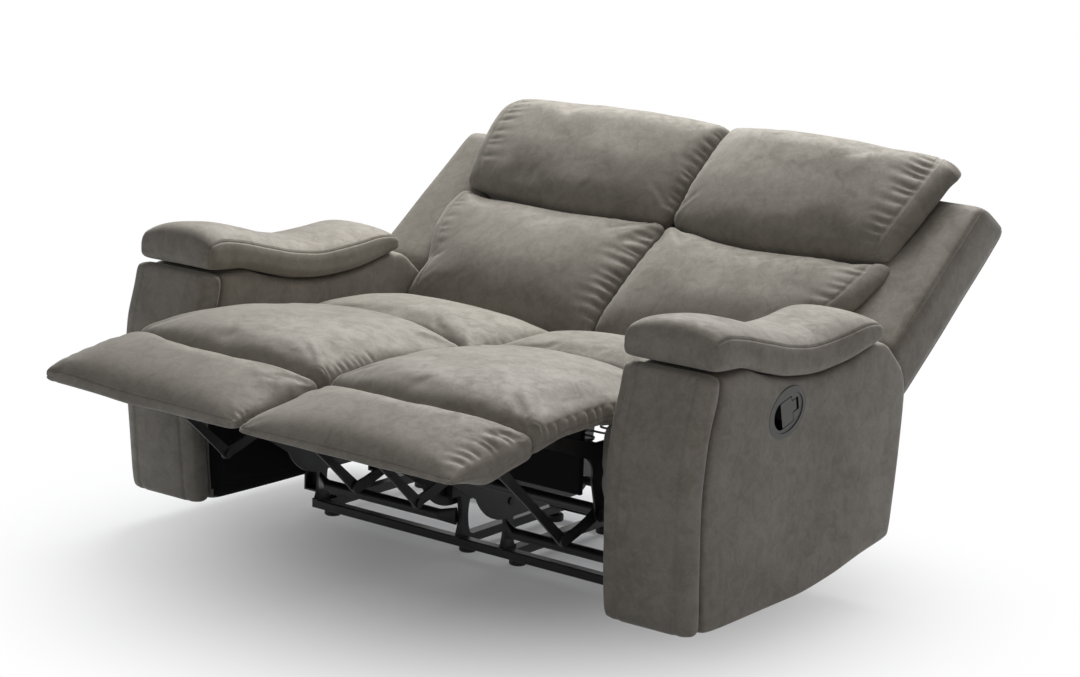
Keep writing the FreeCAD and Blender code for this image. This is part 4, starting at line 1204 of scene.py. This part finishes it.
def cushion_rows(pad):
    """Stitch rows on the block: the footrest's front edge and the seams beside the back's sides."""
    rows = []
    top = pad.high[2]
    if pad.name == "footrest":
        line = pad.low[1] + footrest_hem
        rows.append(run((pad.low[0] + 0.012, line, top), (pad.high[0] - 0.012, line, top)))
    if pad.name in on_the_back:
        for offset in (-beside_seam, beside_seam):
            x = pad.high[0] - seam_inboard + offset
            rows.append(run((x, pad.low[1] + 0.02, top), (x, pad.high[1] - 0.02, top)))
    return rows


# %% Meshes of the cushions
cushion_bodies = {"footrest": "footrest", "thigh": "seat", "seat": "seat",
                  "lumbar": "back", "headrest": "back"}
cushion_nodes = {"footrest": ("footrest_pad",), "thigh": ("thigh_cushion", "footrest_bridge"),
                 "seat": ("seat_cushion",), "lumbar": ("lumbar_cushion",), "headrest": ("headrest_cushion",)}


def upholstered(name, pad, side):
    """A cover's mesh object; the left-hand one is mirrored, so its faces are turned."""
    points, faces = pad.shape, pad.quads
    if side == "left":
        points, faces = mirror_x(points), faces[:, ::-1]
    obj = shade_smooth(mesh_object(name, points, faces))
    obj.data.materials.append(suede)
    return obj


def attach(obj, kind, side):
    if kind == "thigh":
        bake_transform(obj)
    else:
        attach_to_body(obj, cushion_bodies[kind] + "_" + side)


def make_cushion(pad, side, seed):
    refine(pad, lay(pad, side) + pad.puff)
    sew(pad, side, seed)
    obj = upholstered(pad.name + "_cover_" + side, pad, side)
    attach(obj, pad.name, side)
    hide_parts(*[node + "_" + side for node in cushion_nodes[pad.name]])
    return traced_rows(pad, cushion_rows(pad), side)


# %% Make the ten cushions
rows_on_body = {}
for number, pad in enumerate(cushions.values()):
    for turn, side in enumerate(SIDES):
        paths = make_cushion(pad, side, cushion_seed + 7 * number + 3 * turn)
        if paths:
            rows_on_body.setdefault((cushion_bodies[pad.name], side), []).extend(paths)
print("cushion covers made; stitch rows on", sorted("_".join(k) for k in rows_on_body))

# %% [markdown]
# ## Arms
# An arm is a padded box with a wave-shaped pad on top. Its front is a separate panel with rounded
# edges, and a dark gap shows where the side panel starts behind it. The side view gives four
# lines: front, rear, bottom and top. A block is laid between them, so it takes the arm's outline
# and keeps its own rounded edges. The top pad is one strip over the nose, with sewn side panels,
# and the left arm's front leans out a little towards its top.

# %% Arm lines
front_line = ((0.045, -0.386), (0.078, -0.389), (0.200, -0.400), (0.330, -0.405), (0.450, -0.392),
              (0.545, -0.366), (0.590, -0.360))
rear_line = ((0.100, 0.356), (0.200, 0.369), (0.300, 0.380), (0.417, 0.387), (0.560, 0.388))
bottom_line = ((-0.406, 0.078), (-0.376, 0.077), (-0.200, 0.074), (-0.020, 0.073), (0.120, 0.084),
               (0.250, 0.104), (0.390, 0.122))
top_line = ((-0.406, 0.585), (-0.376, 0.583), (-0.330, 0.580), (-0.245, 0.577), (-0.150, 0.549),
            (-0.050, 0.530), (0.040, 0.524), (0.140, 0.532), (0.245, 0.551), (0.284, 0.547),
            (0.330, 0.514), (0.365, 0.480), (0.390, 0.425))
front_panel_depth = 0.048
pad_gap = 0.004
arm_inner_x = 0.545
arm_outer_x = float(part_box("arm_outer_panel_right")[1][0])
arm_step = 0.0105
long_step = 0.0115
across_step = 0.016
guess_foot = 0.09
guess_rise = 0.46


def on_line(line, place):
    """The value of one of the arm's lines at a place."""
    places, values = zip(*line)
    return smooth_line(place, places, values)


def between_lines(rounded, height, y_front, y_rear):
    """Lays block points (x, share of length, height) between the arm's lines."""
    x, l, h = rounded.T
    share = h / height
    z_guess = guess_foot + share * guess_rise
    y = y_front(z_guess) + l * (y_rear(z_guess) - y_front(z_guess))
    low, high = on_line(bottom_line, y), on_line(top_line, y) - pad_gap
    z = low + share * (high - low)
    y = y_front(z) + l * (y_rear(z) - y_front(z))
    return np.stack([x, y, z], axis=1)


crown_reach = 0.055


def swell_faces(pad, amount):
    """Gives every face of a pad a slight crown, as wadding under a stretched cover has."""
    size = pad.high - pad.low
    unit = (pad.block - pad.low) / size
    crown = np.ones(len(unit))
    for n in range(3):
        edge = np.clip(np.minimum(unit[:, n], 1 - unit[:, n]) * size[n] / crown_reach, 0, 1)
        on_face = (unit[:, n] < tiny) | (unit[:, n] > 1 - tiny)
        crown *= np.where(on_face, 1.0, edge * (2 - edge))
    normal = normals_of(pad.laid, pad.faces)
    return pad.laid + normal * (amount * crown)[:, None]


print("arms from x", round(arm_inner_x, 3), "to", round(arm_outer_x, 3))

# %% Front panels
front_radius = (0.026, 0.022, 0.014)
front_seam_inset = 0.036
front_inner_x = 0.534
front_height = 0.49
left_lean = 0.026
left_lean_foot = 0.006
arm_seed = 91


def arm_front_pad():
    xs = grid_lines(front_inner_x, arm_outer_x, arm_step,
                    beside(front_inner_x + front_seam_inset, arm_outer_x - front_seam_inset))
    ls = grid_lines(0.0, front_panel_depth, arm_step)
    hs = grid_lines(0.0, front_height, arm_step)
    pad = Pad("arm_front", xs, ls, hs, front_radius)
    rounded = pad.round.copy()
    rounded[:, 1] /= front_panel_depth

    def y_front(z):
        return on_line(front_line, z)

    def y_rear(z):
        return on_line(front_line, z) + front_panel_depth

    pad.laid = between_lines(rounded, front_height, y_front, y_rear)
    return pad


def front_face_seam(pad, x, depth, width):
    """An upright seam over the front face of the block."""
    span = pad.high[1] - pad.low[1]
    near = 1 - smooth_step(np.abs(pad.fine[:, 1] - pad.low[1]), 0.1 * span, 0.3 * span)
    seam(pad, pad.fine[:, 0] - x, depth * near, width)


def lean_out(points, side):
    """The left arm's front stands a little further out at its top, as the photograph shows."""
    if side == "left":
        near = 1.0 - smooth_step(points[:, 1], -0.36, -0.17)
        outer = smooth_step(points[:, 0], 0.52, 0.66)
        near = near * np.where(points[:, 1] > -0.345, outer, 1.0)
        rise = smooth_step(points[:, 2], 0.15, 0.50)
        points[:, 0] += near * (left_lean_foot + (left_lean - left_lean_foot) * rise)
    return points


def make_arm_front(pad, side, seed):
    refine(pad, lean_out(swell_faces(pad, 0.003), side))
    pad.move += 0.5 * swell_depth * waves(pad.shape, seed, 0.2)
    rows = []
    y, low, high = pad.low[1], pad.low[2] + 0.01, pad.high[2] - 0.01
    for x in (pad.low[0] + front_seam_inset, pad.high[0] - front_seam_inset):
        front_face_seam(pad, x, 0.0024, 0.0032)
        rows += [run((x + offset, y, low), (x + offset, y, high)) for offset in (-beside_seam, beside_seam)]
    finish_shape(pad)
    return rows


# %% Side panels round the arm
side_radius = (0.014, 0.020, 0.012)
side_length = 0.70
side_height = 0.46


def arm_side_pad():
    xs = grid_lines(arm_inner_x + 0.0005, arm_outer_x - 0.0005, across_step)
    ls = grid_lines(0.0, side_length, long_step)
    hs = grid_lines(0.0, side_height, long_step)
    pad = Pad("arm_side", xs, ls, hs, side_radius)
    rounded = pad.round.copy()
    rounded[:, 1] /= side_length

    def y_front(z):
        return on_line(front_line, z) + front_panel_depth + 0.002

    def y_rear(z):
        return on_line(rear_line, z)

    pad.laid = between_lines(rounded, side_height, y_front, y_rear)
    return pad


def make_arm_side(pad, side, seed):
    laid = swell_faces(pad, 0.003)
    outer = pad.block[:, 0] > 0.5 * (arm_inner_x + arm_outer_x)
    laid[outer] = lean_out(laid[outer], side)
    refine(pad, laid)
    pad.move += 0.5 * swell_depth * waves(pad.shape, seed, 0.24)
    finish_shape(pad)
    return []


# %% Top pads
pad_stations = ((-0.364, 0.592, 0.640, 0.650), (-0.350, 0.588, 0.652, 0.670), (-0.318, 0.584, 0.657, 0.679),
                (-0.260, 0.580, 0.648, 0.672), (-0.170, 0.557, 0.626, 0.648), (-0.080, 0.535, 0.605, 0.623),
                (0.020, 0.526, 0.593, 0.609), (0.120, 0.531, 0.597, 0.614), (0.200, 0.544, 0.603, 0.620),
                (0.245, 0.553, 0.600, 0.612), (0.270, 0.561, 0.586, 0.592))
pad_radius = (0.017, 0.020, 0.022)
pad_inner_x = 0.535
pad_outer_x = 0.750
edge_seam_depth = 0.0016


def arm_top_pad():
    front, rear = pad_stations[0][0], pad_stations[-1][0]
    xs = grid_lines(pad_inner_x, pad_outer_x, arm_step, edge_lines(pad_inner_x, pad_outer_x))
    ls = grid_lines(front, rear, arm_step, edge_lines(front, rear))
    hs = grid_lines(0.0, block_height, arm_step, edge_lines(0.0, block_height))
    pad = Pad("arm_pad", xs, ls, hs, pad_radius)
    pad.laid = lay_cushion(pad, pad_stations, level, level, 0.0, 0.0)
    return pad


def make_arm_top(pad, side, seed):
    refine(pad, pad.laid + pad.puff)
    pad.move += 0.6 * swell_depth * waves(pad.shape, seed, 0.2)
    rows = []
    for end, x, inward in (("low", pad.low[0], 1.0), ("high", pad.high[0], -1.0)):
        edge_seam(pad, 0, end, 2, "high", edge_seam_depth, hem_width)
        edge_seam(pad, 0, end, 1, "low", edge_seam_depth, hem_width)
        top = x + 0.0075 * inward
        rows.append(run((top, pad.low[1], 0.008), (top, pad.low[1], pad.high[2]))
                    + run((top, pad.low[1], pad.high[2]), (top, pad.high[1] - 0.004, pad.high[2])))
    finish_shape(pad)
    return rows


# %% Inner pads beside the seat
inner_pad_low = (0.4785, -0.336, 0.286)
inner_pad_high = (0.5445, 0.058, 0.442)
inner_pad_radius = (0.024, 0.026, 0.024)
inner_crease = (0.0035, 0.008)


def arm_inner_pad():
    axes = [grid_lines(a, b, arm_step) for a, b in zip(inner_pad_low, inner_pad_high)]
    pad = Pad("arm_inner", *axes, inner_pad_radius)
    pad.laid = pad.round.copy()
    return pad


def make_arm_inner(pad, side, seed):
    refine(pad, swell_faces(pad, 0.005))
    pad.move += swell_depth * waves(pad.shape, seed, 0.12)
    facing = smooth_step(-pad.fine[:, 0], -pad.low[0] - 0.01, -pad.low[0])
    from_crease = pad.fine[:, 2] - 0.345 - 0.25 * (pad.fine[:, 1] + 0.33)
    seam(pad, from_crease, inner_crease[0] * facing, inner_crease[1])
    finish_shape(pad)
    return []


# %% Blocks of the arms
arm_pads = {"arm_front": (arm_front_pad(), make_arm_front, ("arm_front_panel",), 0.85),
            "arm_side": (arm_side_pad(), make_arm_side, ("arm_outer_panel",), 0.9),
            "arm_pad": (arm_top_pad(), make_arm_top, ("arm_pad",), 0.8),
            "arm_inner": (arm_inner_pad(), make_arm_inner, ("arm_inner_panel",), 0.8)}
stuff([arm_pads["arm_pad"][0]])
print("arm points", {kind: len(parts[0].block) for kind, parts in arm_pads.items()})

# %% Hole for the handle cup
cup_tilt = math.radians(14.0)
hole_half = (0.0605, 0.0430)
hole_depth = 0.046


def cut_cup_hole(obj, side):
    """Opens the outer panel for the handle cup, a little smaller than the cup's lip."""
    low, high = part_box("handle_cup_" + side)
    middle = 0.5 * (low + high)
    outline = []
    for turn in np.linspace(0, 2 * math.pi, 48, endpoint=False):
        a, b = hole_half[0] * math.cos(turn), hole_half[1] * math.sin(turn)
        outline.append((middle.y + a * math.cos(cup_tilt) - b * math.sin(cup_tilt),
                        middle.z + a * math.sin(cup_tilt) + b * math.cos(cup_tilt)))
    count = len(outline)
    outer = SIDES[side] * (arm_outer_x + 0.03)
    inner = SIDES[side] * (arm_outer_x - hole_depth)
    points = [(x, y, z) for x in (inner, outer) for y, z in outline]
    faces = [tuple(range(count))[::-1], tuple(range(count, 2 * count))]
    faces += [(n, (n + 1) % count, count + (n + 1) % count, count + n) for n in range(count)]
    tool = mesh_object("cup_hole", points, faces)
    build = bmesh.new()
    build.from_mesh(tool.data)
    bmesh.ops.recalc_face_normals(build, faces=build.faces)
    build.to_mesh(tool.data)
    build.free()
    hole = obj.modifiers.new("hole", "BOOLEAN")
    hole.operation = "DIFFERENCE"
    hole.solver = "EXACT"
    hole.object = tool
    graph = bpy.context.evaluated_depsgraph_get()
    cut = bpy.data.meshes.new_from_object(obj.evaluated_get(graph))
    obj.modifiers.clear()
    obj.data = cut
    bpy.data.objects.remove(tool)
    shade_smooth(obj)
    print(obj.name, "hole cut,", len(cut.polygons), "faces")


# %% Black cloth on the lower inner sides
black_cloth_top = 0.425


def black_cloth_below_seat(obj):
    """Gives the lower inner side of an arm's side cover the near-black cloth finish."""
    obj.data.materials.append(black_cloth)
    for face in obj.data.polygons:
        if abs(face.center.x) < arm_inner_x + 0.004 and face.center.z < black_cloth_top:
            face.material_index = 1


# %% Make the arms
arm_rows = {}
for number, (name, (pad, make, nodes, fill)) in enumerate(arm_pads.items()):
    for turn, side in enumerate(SIDES):
        rows = make(pad, side, arm_seed + 5 * number + turn)
        obj = upholstered(name + "_cover_" + side, pad, side)
        if name == "arm_side":
            cut_cup_hole(obj, side)
            black_cloth_below_seat(obj)
        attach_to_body(obj, "base")
        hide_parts(*[node + "_" + side for node in nodes])
        arm_rows.setdefault(side, []).extend(traced_rows(pad, rows, side))
print("arm covers made;", {side: len(rows) for side, rows in arm_rows.items()}, "rows of stitches")

# %% [markdown]
# ## Pull handle
# The handle sits in an oval plate of grey plastic. A plate in the shape of a T lying on its side is
# the lever, and in front of it the plate is open, a black crescent where the fingers go. The opening
# is also longer than the lever's tab, which swings into it, and a small backing plate closes it from
# behind. All plates are thin slabs: an outline of straight and round stretches, filled and thickened.

# %% Outlines of the pull handle
cup_half = (0.0590, 0.0415)
crescent_front = 0.0460
lever_bar = (-0.0200, 0.0190)
lever_bar_half = 0.0255
lever_tab = (0.0040, 0.0340)
lever_tab_half = 0.0110
lever_gap = 0.0018
hidden_rear = 0.0085
tab_trim = 0.0008
plate_corner = 0.0030


def rounded_outline(corners, radius, steps=5):
    """A closed outline with its corners cut round by quadratic curves."""
    points = []
    count = len(corners)
    for n in range(count):
        here, before, after = (np.array(corners[k % count], float) for k in (n, n - 1, n + 1))
        start = here + (before - here) / np.linalg.norm(before - here) * radius
        end = here + (after - here) / np.linalg.norm(after - here) * radius
        for t in np.linspace(0.0, 1.0, steps):
            points.append((1 - t) ** 2 * start + 2 * t * (1 - t) * here + t ** 2 * end)
    return np.array(points)


def lever_outline(grow):
    """The T of the lever, its bar upright at the front and its tab to the rear."""
    front, rear = lever_bar[0] - grow, lever_bar[1] + grow
    high, tab_high, tab_rear = lever_bar_half + grow, lever_tab_half + grow, lever_tab[1] + grow
    shift = lever_tab[0]
    corners = ((front, -high), (rear, -high), (rear, shift - tab_high), (tab_rear, shift - tab_high),
               (tab_rear, shift + tab_high), (rear, shift + tab_high), (rear, high), (front, high))
    return rounded_outline(corners, plate_corner)


def opening_outline():
    """The hole of the oval plate: the lever's T with a gap, and the crescent in front of it."""
    tee = lever_outline(lever_gap)
    tee = tee[tee[:, 0] > lever_bar[0]]
    tab = np.abs(tee[:, 1] - lever_tab[0]) < lever_tab_half + lever_gap + 0.0001
    tee[tab & (tee[:, 0] > 0.5 * (lever_bar[1] + lever_tab[1])), 0] += hidden_rear - lever_gap
    tee[tab & (tee[:, 1] < lever_tab[0]), 1] -= tab_trim
    angles = np.linspace(math.pi * 0.5, math.pi * 1.5, 25)
    reach = crescent_front + lever_bar[0]
    half = lever_bar_half + lever_gap
    bow = [(lever_bar[0] + reach * math.cos(a), half * math.sin(a)) for a in angles]
    return np.concatenate([tee, np.array(bow)])


print("lever outline", len(lever_outline(0.0)), "points, opening", len(opening_outline()), "points")

# %% Plates of the pull handle
face_depth = (0.0, 0.0012)
lever_depth = (0.0002, 0.0013)
backing_depth = (-0.0045, -0.0030)
backing_length = 0.0076
backing_corner = 0.0015


def plate_of(name, outlines, depth, middle, side):
    """Fills the area between outlines and thickens it between two depths from the arm's side."""
    x_low, x_high = arm_outer_x + depth[0], arm_outer_x + depth[1]
    build = bmesh.new()
    for outline in outlines:
        corners = []
        for a, b in outline:
            y = middle[0] + a * math.cos(cup_tilt) - b * math.sin(cup_tilt)
            z = middle[1] + a * math.sin(cup_tilt) + b * math.cos(cup_tilt)
            corners.append(build.verts.new((SIDES[side] * x_low, y, z)))
        for n in range(len(corners)):
            build.edges.new((corners[n - 1], corners[n]))
    bmesh.ops.triangle_fill(build, edges=build.edges[:], use_beauty=True)
    raised = bmesh.ops.extrude_face_region(build, geom=build.faces[:])
    for point in raised["geom"]:
        if isinstance(point, bmesh.types.BMVert):
            point.co.x = SIDES[side] * x_high
    bmesh.ops.recalc_face_normals(build, faces=build.faces)
    mesh = bpy.data.meshes.new(name)
    build.to_mesh(mesh)
    build.free()
    mesh.materials.append(grey_plastic)
    return link(bpy.data.objects.new(name, mesh))


def make_handle(side):
    low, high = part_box("handle_cup_" + side)
    middle = (0.5 * (low[1] + high[1]), 0.5 * (low[2] + high[2]))
    turns = np.linspace(0, 2 * math.pi, 48, endpoint=False)
    oval = np.array([(cup_half[0] * math.cos(t), cup_half[1] * math.sin(t)) for t in turns])
    face = plate_of("cup_face_" + side, (oval, opening_outline()), face_depth, middle, side)
    lever = plate_of("lever_plate_" + side, (lever_outline(0.0),), lever_depth, middle, side)
    front, half = lever_tab[1] + lever_gap, lever_tab_half + plate_corner
    rear, low_b, high_b = front + backing_length, lever_tab[0] - half, lever_tab[0] + half
    corners = ((front, low_b), (rear, low_b), (rear, high_b), (front, high_b))
    behind = rounded_outline(corners, backing_corner)
    backing = plate_of("cup_backing_" + side, (behind,), backing_depth, middle, side)
    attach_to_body(face, "base")
    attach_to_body(backing, "base")
    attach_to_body(lever, "lever_" + side)
    for obj in (face, lever, backing):
        print(obj.name, len(obj.data.polygons), "faces")


for side in SIDES:
    make_handle(side)

# %% [markdown]
# ## Wings and the rear of the back
# Beside each back cushion stands a padded wing that ends above the arm, and behind the cushions
# runs a flat rear cover with one row of stitches near its top. Both are blocks again, drawn on the
# back's own directions: across, up the back, and out of the back. The wing's outer edge is a seam.

# %% Wings and rear covers
wing_box = ((0.5455, 0.085, -0.1475), (0.715, 0.626, -0.024))
wing_slant_low = 0.033
wing_slant_high = 0.054
wing_radius = (0.022, 0.026, 0.022)
rear_box = ((0.0015, 0.012, -0.1475), (0.5435, 0.621, -0.070))
rear_radius = (0.010, 0.012, 0.012)
rear_step = 0.014
back_seed = 151


def wing_pad():
    (x0, s0, t0), (x1, s1, t1) = wing_box
    xs = grid_lines(x0, x1, arm_step, edge_lines(x0, x1))
    ts = grid_lines(t0, t1, arm_step, edge_lines(t0, t1))
    pad = Pad("wing", xs, grid_lines(s0, s1, long_step), ts, wing_radius)
    x, s, t = pad.round.T
    out = (t - t0) / (t1 - t0)
    share = (s - s0) / (s1 - s0)
    low = s0 + wing_slant_low * out
    high = s1 - wing_slant_high * out
    pad.laid = on_back(np.stack([x, low + share * (high - low), t], axis=1))
    return pad


def make_wing(pad, seed):
    refine(pad, swell_faces(pad, 0.004))
    pad.move += 0.7 * swell_depth * waves(pad.shape, seed, 0.2)
    edge_seam(pad, 0, "high", 2, "high", edge_seam_depth, hem_width)
    finish_shape(pad)
    x, t = pad.high[0] - 0.012, pad.high[2]
    return [run((x, pad.low[1] + 0.02, t), (x, pad.high[1] - 0.015, t))]


def rear_pad():
    axes = [grid_lines(a, b, rear_step) for a, b in zip(*rear_box)]
    pad = Pad("rear", *axes, rear_radius)
    pad.laid = on_back(pad.round)
    return pad


def make_rear(pad, seed):
    refine(pad, swell_faces(pad, 0.003))
    pad.move += 0.8 * swell_depth * waves(pad.shape, seed, 0.25)
    finish_shape(pad)
    s = pad.high[1] - 0.03
    return [run((pad.low[0] + 0.01, s, pad.low[2]), (pad.high[0] - 0.01, s, pad.low[2]))]


back_pads = {"wing": (wing_pad(), make_wing, 0.85), "rear": (rear_pad(), make_rear, 0.9)}
for number, (name, (pad, make, fill)) in enumerate(back_pads.items()):
    for turn, side in enumerate(SIDES):
        rows = make(pad, back_seed + 5 * number + turn)
        obj = upholstered(name + "_cover_" + side, pad, side)
        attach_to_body(obj, "back_" + side)
        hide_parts("back_shell_" + side)
        rows_on_body.setdefault(("back", side), []).extend(traced_rows(pad, rows, side))
print("wings and rear covers made;", len(rows_on_body), "sets of stitch rows")

# %% Lay the stitches
for (body, side), paths in rows_on_body.items():
    obj = stitched("stitches_" + body + "_" + side, paths)
    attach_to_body(obj, body + "_" + side)
for side, paths in arm_rows.items():
    obj = stitched("stitches_arm_" + side, paths)
    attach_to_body(obj, "base")

# %% [markdown]
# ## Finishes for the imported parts
# The steel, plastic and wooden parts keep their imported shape, and only their finish changes. The
# material slots of the record say which finish a part has.

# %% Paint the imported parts
finish_of = {"suede_cover": suede, "black_cloth": black_cloth, "black_steel": black_steel,
             "bright_steel": bright_steel, "glide_plastic": glide_plastic, "grey_plastic": grey_plastic,
             "plywood": plywood}
slots = {part["node"]: part["material_slot"] for part in frame["record"]["subparts"]}
for node, obj in frame["nodes"].items():
    finish = finish_of[slots[node]]
    if not obj.material_slots:
        obj.data.materials.append(finish)
    for place in obj.material_slots:
        place.material = finish
print("painted", len(frame["nodes"]), "packed parts")
